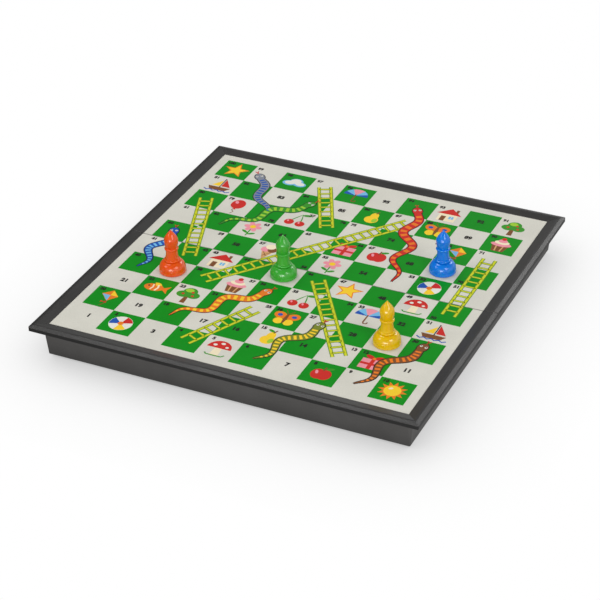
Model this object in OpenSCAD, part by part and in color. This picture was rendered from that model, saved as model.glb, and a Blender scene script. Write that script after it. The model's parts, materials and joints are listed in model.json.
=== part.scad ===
// Folding magnetic game board: two equal moulded half cases on two pin hinges,
// a steel sheet and a printed sheet on each half, four magnetic pawns and a die.
// Millimetres, +Z up. The fold runs along X at y = 0, and the open board stands on z = 0.

/* [Playing surface] */
// Squares along each side of the board
squares = 10; // [8:2:12]
// Side of one square
cell = 21.9; // [18:0.1:26]
// Plain edge of the print outside the squares
margin = 6.3; // [3:0.1:12]
// Thickness of the printed sheet
print_t = 0.3; // [0.2:0.05:0.6]
// Thickness of the steel sheet under the print
steel_t = 0.4; // [0.3:0.05:0.8]
// Play between a sheet and the side of its pocket
sheet_play = 0.2; // [0.1:0.05:0.5]

/* [Rim] */
// Width of the rim, from the pocket to the outer edge
rim_w = 9.2; // [8.6:0.1:14]
// Height of the rim's top over the print
rim_rise = 1.2; // [0.6:0.1:2]
// Width of the slope that runs from the print up to the rim's top
rim_slope_w = 5.6; // [2:0.1:5.8]
// Height of the rim's outer face
rim_face_h = 3.6; // [2.8:0.1:6]
// Width of the bevel that runs from the rim's top down to its outer face
rim_bevel_w = 2.4; // [0.6:0.1:3]
// Height of that bevel
rim_bevel_h = 0.8; // [0.4:0.1:2]
// Bevel on the rim's outer lower edge
rim_under_bevel = 0.4; // [0.2:0.1:0.8]
// Thickness of the skirt that hangs down along the rim's outer edge
skirt_t = 1.8; // [1.2:0.1:2.4]
// Thickness of the rim's top over the channel behind the skirt
rim_top_t = 2; // [1.4:0.1:2.2]
// Radius of the rim's upright corner edges
rim_corner_r = 1.2; // [0.4:0.1:4]

/* [Case wall] */
// How far the rim stands out over the head of the wall
overhang = 6; // [4:0.1:7]
// How much further in the wall stands at its foot
wall_draft = 1.8; // [0.4:0.1:2.2]
// Thickness of the walls
wall_t = 2; // [1.4:0.1:2.6]
// Radius of the wall's outer corners at its foot
foot_corner_r = 0.8; // [0.4:0.1:6]
// Least radius of the tray's inner corners at its mouth
mouth_corner_r = 0.4; // [0.2:0.1:1]
// Height of the wall under the rim
wall_h = 18.4; // [14.4:0.1:24]
// Thickness of the plate that carries the sheets
plate_t = 2; // [1.4:0.1:3]
// Gap between the two halves along the fold when the board lies open
seam = 0.4; // [0.2:0.1:0.8]
// Gap between the two rims of the trays when the case is shut
shut_gap = 0.2; // [0.1:0.05:0.6]
// Thickness of the ribs under the plate
rib_t = 1.2; // [0.8:0.1:1.8]
// Depth of the ribs under the plate
rib_h = 1.5; // [0.8:0.1:2]

/* [Hinges] */
// Distance of each hinge from the middle of the fold
hinge_x = 75; // [40:1:80]
// Radius of the hinge barrels
barrel_r = 2.2; // [2:0.1:3]
// Length of each outer knuckle of a hinge
outer_knuckle_l = 8; // [5:0.5:12]
// Length of the middle knuckle of a hinge
middle_knuckle_l = 7.4; // [5:0.2:12]
// Side play between neighbouring knuckles
knuckle_play = 0.3; // [0.2:0.05:0.6]
// Play between a barrel and the other half
barrel_play = 0.3; // [0.2:0.05:0.6]
// Radius of the hinge pins
pin_r = 0.9; // [0.7:0.05:1.1]
// Running play between a pin and the middle knuckle
pin_play = 0.05; // [0.02:0.01:0.1]
// Play between a pin and the knuckles that hold it
pin_hold_play = 0.01; // [0.01:0.01:0.02]
// How deep a pin's driven end sits in its barrel
pin_sink = 0.5; // [0.2:0.1:1]
// Wall that closes the far end of a pin's bore
pin_stop_t = 1; // [0.6:0.1:2]
// Depth of the block that stiffens the fold wall at a hinge
hinge_block_d = 4; // [2:0.5:6]
// Height of that block
hinge_block_h = 7; // [4:0.5:10]

/* [Closing pegs] */
// Radius of the closing pegs, which are also the feet of the open board
peg_r = 2.6; // [2:0.1:3.2]
// Bevel on a peg's tip
peg_bevel = 0.4; // [0.2:0.1:0.8]
// Play between a peg and its socket
peg_play = 0.1; // [0.05:0.05:0.3]
// Distance between a peg and the socket beside it
peg_pitch = 10; // [7:0.5:16]
// Wall of the boss round a socket
boss_t = 1.8; // [1.2:0.1:2.4]
// Distance of each peg and socket pair from the end wall
peg_inset = 16; // [12:0.5:30]
// Distance of the pegs from the inside of the long wall, at its foot
peg_off = 3; // [2.8:0.1:6]

/* [Pawns] */
// Radius of a pawn's foot
pawn_r = 8.4; // [7:0.1:9]
// Bevel under the foot
foot_bevel = 0.6; // [0.3:0.1:1]
// Height of the straight edge of the foot
pawn_edge_h = 1.8; // [1.2:0.1:3]
// Height of the domed base over that edge
pawn_dome_h = 5.8; // [5.2:0.1:8]
// Radius at the top of the domed base
pawn_waist_r = 4.2; // [3.6:0.1:5]
// Radius of the bead on the waist
waist_bead_r = 0.8; // [0.5:0.1:1.3]
// Height of the tapered neck
pawn_neck_h = 6.2; // [4:0.1:9]
// Radius at the top of the neck
pawn_neck_r = 3.6; // [2.6:0.1:4]
// Radius of the collar bead over the neck
collar_bead_r = 0.8; // [0.5:0.1:1.4]
// Largest radius of the head
head_r = 4.4; // [4.1:0.1:5.5]
// Height of the head's lower part, from the collar to its widest place
head_low_h = 5.2; // [2:0.1:8]
// Height of the head's pointed upper part
head_top_h = 6.8; // [4:0.1:12]
// How full the head's pointed part is: 1 is a plain cone
tip_curve = 1.5; // [1:0.1:3]
// Radius of the blunt tip
tip_r = 0.5; // [0.3:0.1:1]
// Air between a standing pawn and the print
stand_gap = 0.02; // [0.01:0.01:0.05]
// Radius of the magnet in a pawn's foot
magnet_r = 4.6; // [3:0.1:4.8]
// Thickness of that magnet
magnet_h = 2.6; // [1.5:0.1:2.8]
// Play round the magnet
magnet_play = 0.1; // [0.05:0.05:0.2]
// Radius of the cap that closes the foot
cap_r = 6.4; // [5.6:0.1:6.6]
// Thickness of that cap
cap_t = 0.8; // [0.5:0.1:1.2]
// Play round the cap
cap_play = 0.05; // [0.02:0.01:0.1]

/* [Die] */
// Side of the die
die_s = 12; // [8:0.5:13]
// Diagonal rounding: radius of the ball that trims the die's corners, over half its side
die_ball = 2.6; // [2:0.1:3.4]
// Radius of a pip's hollow
pip_r = 1.3; // [0.8:0.1:1.6]
// Depth of a pip's hollow
pip_d = 0.5; // [0.3:0.05:0.7]
// Distance of a pip from the middle of its face
pip_step = 2.8; // [2:0.1:3]
// Gap between the die and the end wall of the tray
die_gap = 10; // [4:0.5:20]

/* [Hidden] */
$fn = 96;

// Overlap of joined shapes, and spare length of cuts
eps = 0.05;
over = 2;

// Places in plan
half_l = squares / 2 * cell + margin + rim_w;
wall_reach = half_l - overhang;
tray_reach = wall_reach - wall_t;
wall_corner_r = wall_draft + foot_corner_r;
tray_corner_r = max(wall_corner_r - wall_t, wall_draft + mouth_corner_r);
pocket_reach = half_l - rim_w;
fold_y = -seam / 2;
fold_in_y = fold_y - wall_t;

// Heights, from the table up
axis_z = barrel_r;
foot_z = axis_z + shut_gap / 2;
rim_low_z = foot_z + wall_h;
rim_top_z = rim_low_z + rim_face_h;
print_z = rim_top_z - rim_rise;
pocket_z = print_z - print_t - steel_t;
plate_low_z = pocket_z - plate_t;
groove_top_z = rim_top_z - rim_top_t;

// Hinge lengths, counted from the middle of a hinge
middle_half = middle_knuckle_l / 2;
outer_start = middle_half + knuckle_play;
outer_end = outer_start + outer_knuckle_l;

// Pegs and sockets
boss_r = peg_r + peg_play + boss_t;
peg_y = peg_off + wall_draft - tray_reach;
pair_x = tray_reach - wall_draft - peg_inset;
socket_depth = 2 * axis_z - foot_z + peg_bevel;

// Pawn: column and row of its square, from the front left corner, and heights from its foot
red_square = [1, squares / 2 - 2];
green_square = [squares / 2 - 1, squares / 2 - 1];
yellow_square = [squares - 2, squares / 2 - 3];
blue_square = [squares - 2, squares / 2 + 1];
pawn_z = print_z + stand_gap;
bead_z = pawn_edge_h + pawn_dome_h + waist_bead_r;
neck_z = bead_z + waist_bead_r;
collar_z = neck_z + pawn_neck_h + collar_bead_r;
head_z = collar_z + collar_bead_r;
head_wide_z = head_z + head_low_h;
pawn_top_z = head_wide_z + head_top_h;

// Die: it lies on the table inside the front tray, near the right end wall
die_x = tray_reach - wall_draft - die_gap - die_s / 2;
die_y = (fold_in_y - tray_reach) / 2;

// Points of an arc of an ellipse
function arc(cx, cy, rx, ry, from, to, steps = 10) = [
    for (i = [0 : steps])
        let (a = from + (to - from) * i / steps)
            [cx + rx * cos(a), cy + ry * sin(a)]
];

// Middle of a square, from the middle of the board
function square_at(s) = [(s[0] + 0.5 - squares / 2) * cell, (s[1] + 0.5 - squares / 2) * cell];

// Solid whose three free sides follow an edge profile of [inset, height] rows, with turned corners
module edge_solid(reach, corner_r, profile, end_y) {
    low = profile[0][1];
    high = profile[len(profile) - 1][1];
    middle = reach - corner_r;
    right_side = [for (p = profile) [reach - p[0], p[1]]];
    left_side = [for (i = [len(profile) - 1 : -1 : 0]) [profile[i][0] - reach, profile[i][1]]];
    front_side = [for (p = profile) [p[0] - reach, p[1]]];
    corner_side = [for (p = profile) [corner_r - p[0], p[1]]];

    translate([0, end_y, 0])
        rotate([90, 0, 0])
            linear_extrude(height = middle + end_y)
                polygon(concat(right_side, left_side));
    rotate([90, 0, 90])
        linear_extrude(height = 2 * middle, center = true)
            polygon(concat(front_side, [[end_y, high], [end_y, low]]));
    for (side = [-1, 1])
        translate([side * middle, -middle, 0])
            rotate_extrude()
                polygon(concat([[0, low]], corner_side, [[0, high]]));
}

// Bar along X with its middle on the hinge axis
module hinge_round(r, from, to) {
    translate([from, 0, axis_z])
        rotate([0, 90, 0])
            cylinder(r = r, h = to - from);
}

// Pocket for the sheets, open at the fold, with the slope that leads up to the rim's top
module sheet_pocket() {
    slope = rim_slope_w / rim_rise;
    high = rim_top_z + over;
    wide = pocket_reach + slope * (high - print_z);
    intersection() {
        rotate([90, 0, 0])
            linear_extrude(height = 3 * half_l, center = true)
                polygon([
                    [-pocket_reach, pocket_z], [pocket_reach, pocket_z], [pocket_reach, print_z],
                    [wide, high], [-wide, high], [-pocket_reach, print_z]
                ]);
        rotate([90, 0, 90])
            linear_extrude(height = 3 * half_l, center = true)
                polygon([
                    [-pocket_reach, pocket_z], [over, pocket_z], [over, high],
                    [-wide, high], [-pocket_reach, print_z]
                ]);
    }
}

// Channel behind the skirt, under the rim's top
module rim_channel() {
    difference() {
        edge_solid(
            half_l - skirt_t, max(rim_corner_r - skirt_t, eps),
            [[0, rim_low_z - over], [0, groove_top_z]], fold_y - skirt_t
        );
        edge_solid(
            wall_reach, wall_corner_r,
            [[0, rim_low_z - 2 * over], [0, groove_top_z + over]], fold_y + over
        );
    }
}

// Bevelled block of the rim: its faces meet in mitres, and its upright corner edges are rounded
module rim_block() {
    profile = [
        [rim_under_bevel, rim_low_z], [0, rim_low_z + rim_under_bevel],
        [0, rim_top_z - rim_bevel_h], [rim_bevel_w, rim_top_z]
    ];
    right_side = [for (p = profile) [half_l - p[0], p[1]]];
    left_side = [for (i = [len(profile) - 1 : -1 : 0]) [profile[i][0] - half_l, profile[i][1]]];
    front_side = [for (p = profile) [p[0] - half_l, p[1]]];
    intersection() {
        rotate([90, 0, 0])
            linear_extrude(height = 3 * half_l, center = true)
                polygon(concat(right_side, left_side));
        rotate([90, 0, 90])
            linear_extrude(height = 3 * half_l, center = true)
                polygon(concat(front_side, [[over, rim_top_z], [over, rim_low_z]]));
        edge_solid(half_l, rim_corner_r, [[0, rim_low_z - over], [0, rim_top_z + over]], fold_y);
    }
}

// Drafted block that reaches up into the rim, as if the tray were filled
module wall_block() {
    edge_solid(wall_reach, wall_corner_r, [[wall_draft, foot_z], [0, rim_low_z], [0, groove_top_z]], fold_y);
}

// Rim, plate and walls of one half as an open tray
module tray_shell() {
    difference() {
        union() {
            rim_block();
            wall_block();
        }
        sheet_pocket();
        rim_channel();
        edge_solid(
            tray_reach, tray_corner_r,
            [[wall_draft, foot_z - over], [wall_draft, foot_z], [0, plate_low_z]], fold_in_y
        );
    }
}

// Stiffening ribs under the plate
module plate_ribs() {
    rib_low_z = plate_low_z - rib_h;
    rib_reach = tray_reach + wall_t / 2;
    rib_end_y = fold_y - wall_t / 2;
    for (x = [-1, 0, 1] * tray_reach / 2)
        translate([x - rib_t / 2, -rib_reach, rib_low_z])
            cube([rib_t, rib_reach + rib_end_y, rib_h + eps]);
    translate([-rib_reach, -(half_l + rib_t) / 2, rib_low_z])
        cube([2 * rib_reach, rib_t, rib_h + eps]);
}

// Blocks behind the fold wall that carry the knuckles
module hinge_blocks() {
    for (side = [-1, 1])
        translate([side * hinge_x - outer_end, fold_in_y - hinge_block_d, foot_z])
            cube([2 * outer_end, hinge_block_d + wall_t / 2, hinge_block_h]);
}

// Boss against the long wall at each outer corner, for a peg and a socket side by side
module corner_bosses() {
    boss_h = plate_low_z + eps - foot_z;
    boss_w = peg_pitch + 2 * boss_r;
    intersection() {
        wall_block();
        for (side = [-1, 1])
            translate([side * pair_x, peg_y, foot_z]) {
                for (end = [-1, 1])
                    translate([end * peg_pitch / 2, 0, 0])
                        cylinder(r = boss_r, h = boss_h);
                translate([-peg_pitch / 2, -half_l, 0])
                    cube([peg_pitch, half_l + boss_r, boss_h]);
                translate([-boss_w / 2, -half_l, 0])
                    cube([boss_w, half_l, boss_h]);
            }
    }
}

// Closing pegs, which reach down to the table as feet
module closing_pegs() {
    for (side = [-1, 1])
        translate([side * pair_x - peg_pitch / 2, peg_y, 0]) {
            cylinder(r1 = peg_r - peg_bevel, r2 = peg_r, h = peg_bevel);
            translate([0, 0, peg_bevel])
                cylinder(r = peg_r, h = foot_z - peg_bevel + eps);
        }
}

// Sockets that take the other half's pegs
module peg_sockets() {
    for (side = [-1, 1])
        translate([side * pair_x + peg_pitch / 2, peg_y, foot_z - over])
            cylinder(r = peg_r + peg_play, h = socket_depth + over);
}

// Room for the other half's knuckles: a middle one on the left, an outer pair on the right
module knuckle_room() {
    room_r = barrel_r + barrel_play;
    hinge_round(room_r, -hinge_x - outer_start, -hinge_x + outer_start);
    hinge_round(room_r, hinge_x - outer_end - knuckle_play, hinge_x - middle_half);
    hinge_round(room_r, hinge_x + middle_half, hinge_x + outer_end + knuckle_play);
}

// Own knuckles: an outer pair on the left, a middle one on the right
module own_knuckles() {
    hinge_round(barrel_r, -hinge_x - outer_end, -hinge_x - outer_start);
    hinge_round(barrel_r, -hinge_x + outer_start, -hinge_x + outer_end);
    hinge_round(barrel_r, hinge_x - middle_half, hinge_x + middle_half);
}

// Bores: a closed one through the outer pair that holds a pin, a running one through the middle knuckle
module pin_bores() {
    hinge_round(pin_r + pin_hold_play, -hinge_x - outer_end - over, -hinge_x + outer_end - pin_stop_t);
    hinge_round(pin_r + pin_play, hinge_x - middle_half - over, hinge_x + middle_half + over);
}

// One moulded half: both halves are this same moulding, the back one turned half round
module case_half() {
    difference() {
        union() {
            difference() {
                union() {
                    tray_shell();
                    plate_ribs();
                    hinge_blocks();
                    corner_bosses();
                    closing_pegs();
                }
                knuckle_room();
                peg_sockets();
            }
            own_knuckles();
        }
        pin_bores();
    }
}

// One sheet in the pocket, from the fold to the rim
module pocket_sheet(low, thick) {
    reach = pocket_reach - sheet_play;
    translate([-reach, -reach, low])
        cube([2 * reach, reach + fold_y, thick]);
}

// Pin of one hinge, with bevelled ends
module hinge_pin() {
    bevel = pin_r / 3;
    from = -hinge_x - outer_end + pin_sink;
    to = -hinge_x + outer_end - pin_stop_t - pin_hold_play;
    length = to - from;
    translate([from, 0, axis_z])
        rotate([0, 90, 0])
            rotate_extrude()
                polygon([
                    [0, 0], [pin_r - bevel, 0], [pin_r, bevel],
                    [pin_r, length - bevel], [pin_r - bevel, length], [0, length]
                ]);
}

// Turned outline of a pawn, from the foot to the tip
module pawn_outline() {
    steps = 12;
    neck = [
        for (i = [0 : steps])
            let (t = i / steps)
                [pawn_neck_r + (pawn_waist_r - pawn_neck_r) * pow(1 - t, 2), neck_z + t * pawn_neck_h]
    ];
    head_side = acos(pawn_neck_r / head_r);
    head_low = arc(0, head_wide_z, head_r, head_low_h / sin(head_side), -head_side, 0);
    head_top = [
        for (i = [1 : steps])
            let (t = i / steps)
                [tip_r + (head_r - tip_r) * (1 - pow(t, tip_curve)), head_wide_z + t * (head_top_h - tip_r)]
    ];
    tip = arc(0, pawn_top_z - tip_r, tip_r, tip_r, 0, 90, 4);
    polygon(concat(
        [[0, 0], [pawn_r - foot_bevel, 0], [pawn_r, foot_bevel]],
        arc(pawn_waist_r, pawn_edge_h, pawn_r - pawn_waist_r, pawn_dome_h, 0, 90),
        arc(pawn_waist_r, bead_z, waist_bead_r, waist_bead_r, -90, 90),
        neck,
        arc(pawn_neck_r, collar_z, collar_bead_r, collar_bead_r, -90, 90),
        head_low,
        head_top,
        tip
    ));
}

// Pawn body with its hollow for the magnet and the cap
module pawn_body(place) {
    translate([place[0], place[1], pawn_z])
        difference() {
            rotate_extrude()
                pawn_outline();
            translate([0, 0, -over])
                cylinder(r = cap_r + cap_play, h = cap_t + over);
            cylinder(r = magnet_r + magnet_play, h = cap_t + magnet_h + magnet_play);
        }
}

// Magnet disc on the cap
module pawn_magnet(place) {
    translate([place[0], place[1], pawn_z + cap_t])
        cylinder(r = magnet_r, h = magnet_h);
}

// Cap that closes the foot
module pawn_cap(place) {
    translate([place[0], place[1], pawn_z])
        cylinder(r = cap_r, h = cap_t);
}

// Hollows of one face's pips, on the face that looks up
module face_pips(count) {
    ball_r = (pip_r * pip_r + pip_d * pip_d) / (2 * pip_d);
    corners = [[1, 1], [-1, -1], [1, -1], [-1, 1]];
    sides = [[1, 0], [-1, 0]];
    in_corners = count < 2 ? 0 : count < 4 ? 2 : 4;
    places = concat(
        count % 2 == 1 ? [[0, 0]] : [],
        [for (i = [0 : 1 : in_corners - 1]) corners[i]],
        count == 6 ? sides : []
    );
    for (p = places)
        translate([p[0] * pip_step, p[1] * pip_step, die_s / 2 + ball_r - pip_d])
            sphere(r = ball_r);
}

module front_case() {
    color("#33312f") case_half();
}

module back_case() {
    color("#33312f") rotate([0, 0, 180]) case_half();
}

module front_steel_sheet() {
    color("silver") pocket_sheet(pocket_z, steel_t);
}

module back_steel_sheet() {
    color("silver") rotate([0, 0, 180]) pocket_sheet(pocket_z, steel_t);
}

module front_print_sheet() {
    color("#9fcb8f") pocket_sheet(pocket_z + steel_t, print_t);
}

module back_print_sheet() {
    color("#9fcb8f") rotate([0, 0, 180]) pocket_sheet(pocket_z + steel_t, print_t);
}

module left_hinge_pin() {
    color("lightgray") hinge_pin();
}

module right_hinge_pin() {
    color("lightgray") rotate([0, 0, 180]) hinge_pin();
}

module red_pawn() {
    color("#e04a28") pawn_body(square_at(red_square));
}

module red_pawn_magnet() {
    color("#3a3a3c") pawn_magnet(square_at(red_square));
}

module red_pawn_cap() {
    color("#b03a20") pawn_cap(square_at(red_square));
}

module green_pawn() {
    color("#2ca532") pawn_body(square_at(green_square));
}

module green_pawn_magnet() {
    color("#3a3a3c") pawn_magnet(square_at(green_square));
}

module green_pawn_cap() {
    color("#238028") pawn_cap(square_at(green_square));
}

module blue_pawn() {
    color("#0a6ed7") pawn_body(square_at(blue_square));
}

module blue_pawn_magnet() {
    color("#3a3a3c") pawn_magnet(square_at(blue_square));
}

module blue_pawn_cap() {
    color("#0a58ab") pawn_cap(square_at(blue_square));
}

module yellow_pawn() {
    color("#f5be14") pawn_body(square_at(yellow_square));
}

module yellow_pawn_magnet() {
    color("#3a3a3c") pawn_magnet(square_at(yellow_square));
}

module yellow_pawn_cap() {
    color("#c99a10") pawn_cap(square_at(yellow_square));
}

module die() {
    color("white")
        translate([die_x, die_y, die_s / 2])
            difference() {
                intersection() {
                    cube(die_s, center = true);
                    sphere(r = die_s / 2 + die_ball);
                }
                face_pips(1);
                rotate([180, 0, 0]) face_pips(6);
                rotate([90, 0, 0]) face_pips(2);
                rotate([-90, 0, 0]) face_pips(5);
                rotate([0, 90, 0]) face_pips(3);
                rotate([0, -90, 0]) face_pips(4);
            }
}

front_case();
back_case();
front_steel_sheet();
back_steel_sheet();
front_print_sheet();
back_print_sheet();
left_hinge_pin();
right_hinge_pin();
red_pawn();
red_pawn_magnet();
red_pawn_cap();
green_pawn();
green_pawn_magnet();
green_pawn_cap();
blue_pawn();
blue_pawn_magnet();
blue_pawn_cap();
yellow_pawn();
yellow_pawn_magnet();
yellow_pawn_cap();
die();
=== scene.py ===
"""Looks of a folding magnetic snakes and ladders board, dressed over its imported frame.

Metres, +Z up. The fold runs along X at y = 0. All that is printed lies as thin plates of ink on the two
print sheets, in squares counted from the front left corner. It is cut at the fold, so that each half
carries its share.
"""

import json
import logging
import math
from dataclasses import dataclass
from enum import Enum

import bmesh
import bpy
from mathutils import Color, Matrix, Vector

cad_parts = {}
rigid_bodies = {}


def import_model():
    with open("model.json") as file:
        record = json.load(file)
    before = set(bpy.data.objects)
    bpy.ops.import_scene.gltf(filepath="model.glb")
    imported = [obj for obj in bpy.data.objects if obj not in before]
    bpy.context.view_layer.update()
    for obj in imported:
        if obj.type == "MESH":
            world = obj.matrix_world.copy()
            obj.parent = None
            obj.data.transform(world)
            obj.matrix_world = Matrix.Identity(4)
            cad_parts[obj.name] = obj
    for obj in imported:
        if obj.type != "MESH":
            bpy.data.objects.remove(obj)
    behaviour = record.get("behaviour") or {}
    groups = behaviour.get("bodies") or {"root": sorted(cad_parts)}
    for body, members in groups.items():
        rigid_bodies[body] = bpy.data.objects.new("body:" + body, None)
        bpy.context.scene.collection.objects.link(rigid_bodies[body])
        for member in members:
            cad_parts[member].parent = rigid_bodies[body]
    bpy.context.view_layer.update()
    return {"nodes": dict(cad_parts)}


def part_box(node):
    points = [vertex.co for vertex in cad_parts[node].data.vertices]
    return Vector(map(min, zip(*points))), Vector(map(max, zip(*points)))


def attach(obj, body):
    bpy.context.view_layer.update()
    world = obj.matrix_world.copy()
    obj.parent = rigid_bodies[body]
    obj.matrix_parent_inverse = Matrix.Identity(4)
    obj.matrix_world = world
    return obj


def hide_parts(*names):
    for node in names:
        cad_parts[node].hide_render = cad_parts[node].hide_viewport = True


LOG = logging.getLogger("game_board")
MM = 0.001
INK_ATTRIBUTE = "ink"
COLOUR_STEPS = 255
WHITE_LIGHT = (1.0, 1.0, 1.0)
# Points of a mesh that lie nearer than this are one
WELD = 0.001 * MM

Point = tuple[float, float]
Place = tuple[float, float, float]
Colour = tuple[float, float, float]
Value = object
Socket = bpy.types.NodeSocket
Material = bpy.types.Material
Mesh = bpy.types.Mesh
Piece = bpy.types.Object
Nodes = dict[str, Piece]


def linear(red: int, green: int, blue: int) -> Colour:
    """Turns a colour of 0 to 255 steps, as a screen shows it, into linear light."""
    shares = [step / COLOUR_STEPS for step in (red, green, blue)]
    return tuple(Color(shares).from_srgb_to_scene_linear())


def turned(point: Point, degrees: float, about: Point = (0.0, 0.0)) -> Point:
    """Turns a flat point about another one.

    Args:
        point: The point to turn.
        degrees: Angle, counter-clockwise.
        about: The point that stays.

    Returns:
        The turned point.
    """
    angle = math.radians(degrees)
    x = point[0] - about[0]
    y = point[1] - about[1]
    return (
        about[0] + x * math.cos(angle) - y * math.sin(angle),
        about[1] + x * math.sin(angle) + y * math.cos(angle),
    )


class Half(Enum):
    """The two halves of the board, with the side of the fold that each lies on."""

    FRONT = -1
    BACK = 1

    @property
    def word(self) -> str:
        """The half's name in the names of its pieces."""
        return self.name.lower()

    @property
    def body(self) -> str:
        """The body that the half's pieces ride on."""
        return f"{self.word}_half"


class Ink(Enum):
    """Printing inks, as each looks on the white sheet."""

    GREEN = (8, 142, 24)
    LEAF = (60, 150, 42)
    LIME = (158, 204, 58)
    OLIVE = (122, 134, 44)
    YELLOW = (248, 206, 48)
    ORANGE = (234, 124, 38)
    RED = (206, 46, 40)
    PINK = (238, 150, 164)
    BROWN = (128, 80, 46)
    TAN = (214, 164, 110)
    CREAM = (244, 230, 196)
    SKY = (118, 188, 228)
    BLUE = (32, 86, 178)
    GREY = (132, 138, 150)
    DARK = (36, 33, 32)
    WHITE = (232, 230, 220)

    @property
    def light(self) -> Colour:
        """The ink's colour in linear light."""
        return linear(*self.value)


class Graph:
    """Adds and joins the nodes of one node tree."""

    def __init__(self, tree: bpy.types.NodeTree) -> None:
        """Starts on a tree that holds no nodes yet."""
        self.tree = tree

    def node(
        self, kind: str, inputs: dict[str | int, Value] | None = None, **settings: Value
    ) -> bpy.types.Node:
        """Adds a node.

        Args:
            kind: Blender's name of the node's type.
            inputs: A value, or a socket to join, for inputs by their name or number.
            **settings: The node's own settings.

        Returns:
            The new node.
        """
        node = self.tree.nodes.new(kind)
        for name, value in settings.items():
            setattr(node, name, value)
        for key, value in (inputs or {}).items():
            self.feed(node.inputs[key], value)
        return node

    def feed(self, socket: Socket, value: Value) -> None:
        """Joins a socket to an input, or sets the input's own value."""
        if isinstance(value, Socket):
            self.tree.links.new(value, socket)
        else:
            socket.default_value = value

    def calculate(self, operation: str, first: Value, second: Value = 0.0) -> Socket:
        """Adds a sum of two numbers and returns its result."""
        return self.node("ShaderNodeMath", {0: first, 1: second}, operation=operation).outputs[0]

    def combine(self, operation: str, first: Value, second: Value) -> Socket:
        """Adds a sum of two vectors and returns its result."""
        return self.node("ShaderNodeVectorMath", {0: first, 1: second}, operation=operation).outputs[0]

    def along(self, first: Value, second: Value) -> Socket:
        """Adds the dot product of two vectors and returns it."""
        dot = self.node("ShaderNodeVectorMath", {0: first, 1: second}, operation="DOT_PRODUCT")
        return dot.outputs["Value"]

    def grey(self, value: Value) -> Socket:
        """Adds a number as a grey and returns it."""
        return self.node("ShaderNodeCombineColor", {0: value, 1: value, 2: value}).outputs[0]

    def spread(
        self, value: Value, low: Value, high: Value, start: float, end: float, smooth: bool = False
    ) -> Socket:
        """Carries a value from one range to another, and holds it there.

        Args:
            value: The value to carry over.
            low: Result at the start of the range.
            high: Result at the end of the range.
            start: Start of the value's range.
            end: End of the value's range.
            smooth: Whether the result eases in and out.

        Returns:
            The result's socket.
        """
        inputs = {"Value": value, "From Min": start, "From Max": end, "To Min": low, "To Max": high}
        kind = "SMOOTHSTEP" if smooth else "LINEAR"
        return self.node("ShaderNodeMapRange", inputs, interpolation_type=kind).outputs[0]


@dataclass(frozen=True)
class Clouds:
    """Cloudy pattern that runs between two values.

    Attributes:
        size: Size of one cloud, in metres.
        detail: How many finer layers the clouds have.
        low: Value where the pattern is weak.
        high: Value where it is strong.
        stretch: Share of the pattern's scale along each axis.
        start: Strength of the pattern up to which the value stays low.
        end: Strength from which it stays high.
    """

    size: float
    detail: float
    low: float = 0.0
    high: float = 1.0
    stretch: Place = (1.0, 1.0, 1.0)
    start: float = 0.3
    end: float = 0.7


@dataclass(frozen=True)
class Relief:
    """Fine cloudy relief.

    Attributes:
        size: Size of one bump, in metres.
        depth: Height of the relief, in metres.
        share: Share of the relief that shows.
        detail: How many finer layers the bumps have.
        stretch: Share of the pattern's scale along each axis.
    """

    size: float
    depth: float
    share: float
    detail: float = 1.0
    stretch: Place = (1.0, 1.0, 1.0)


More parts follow.
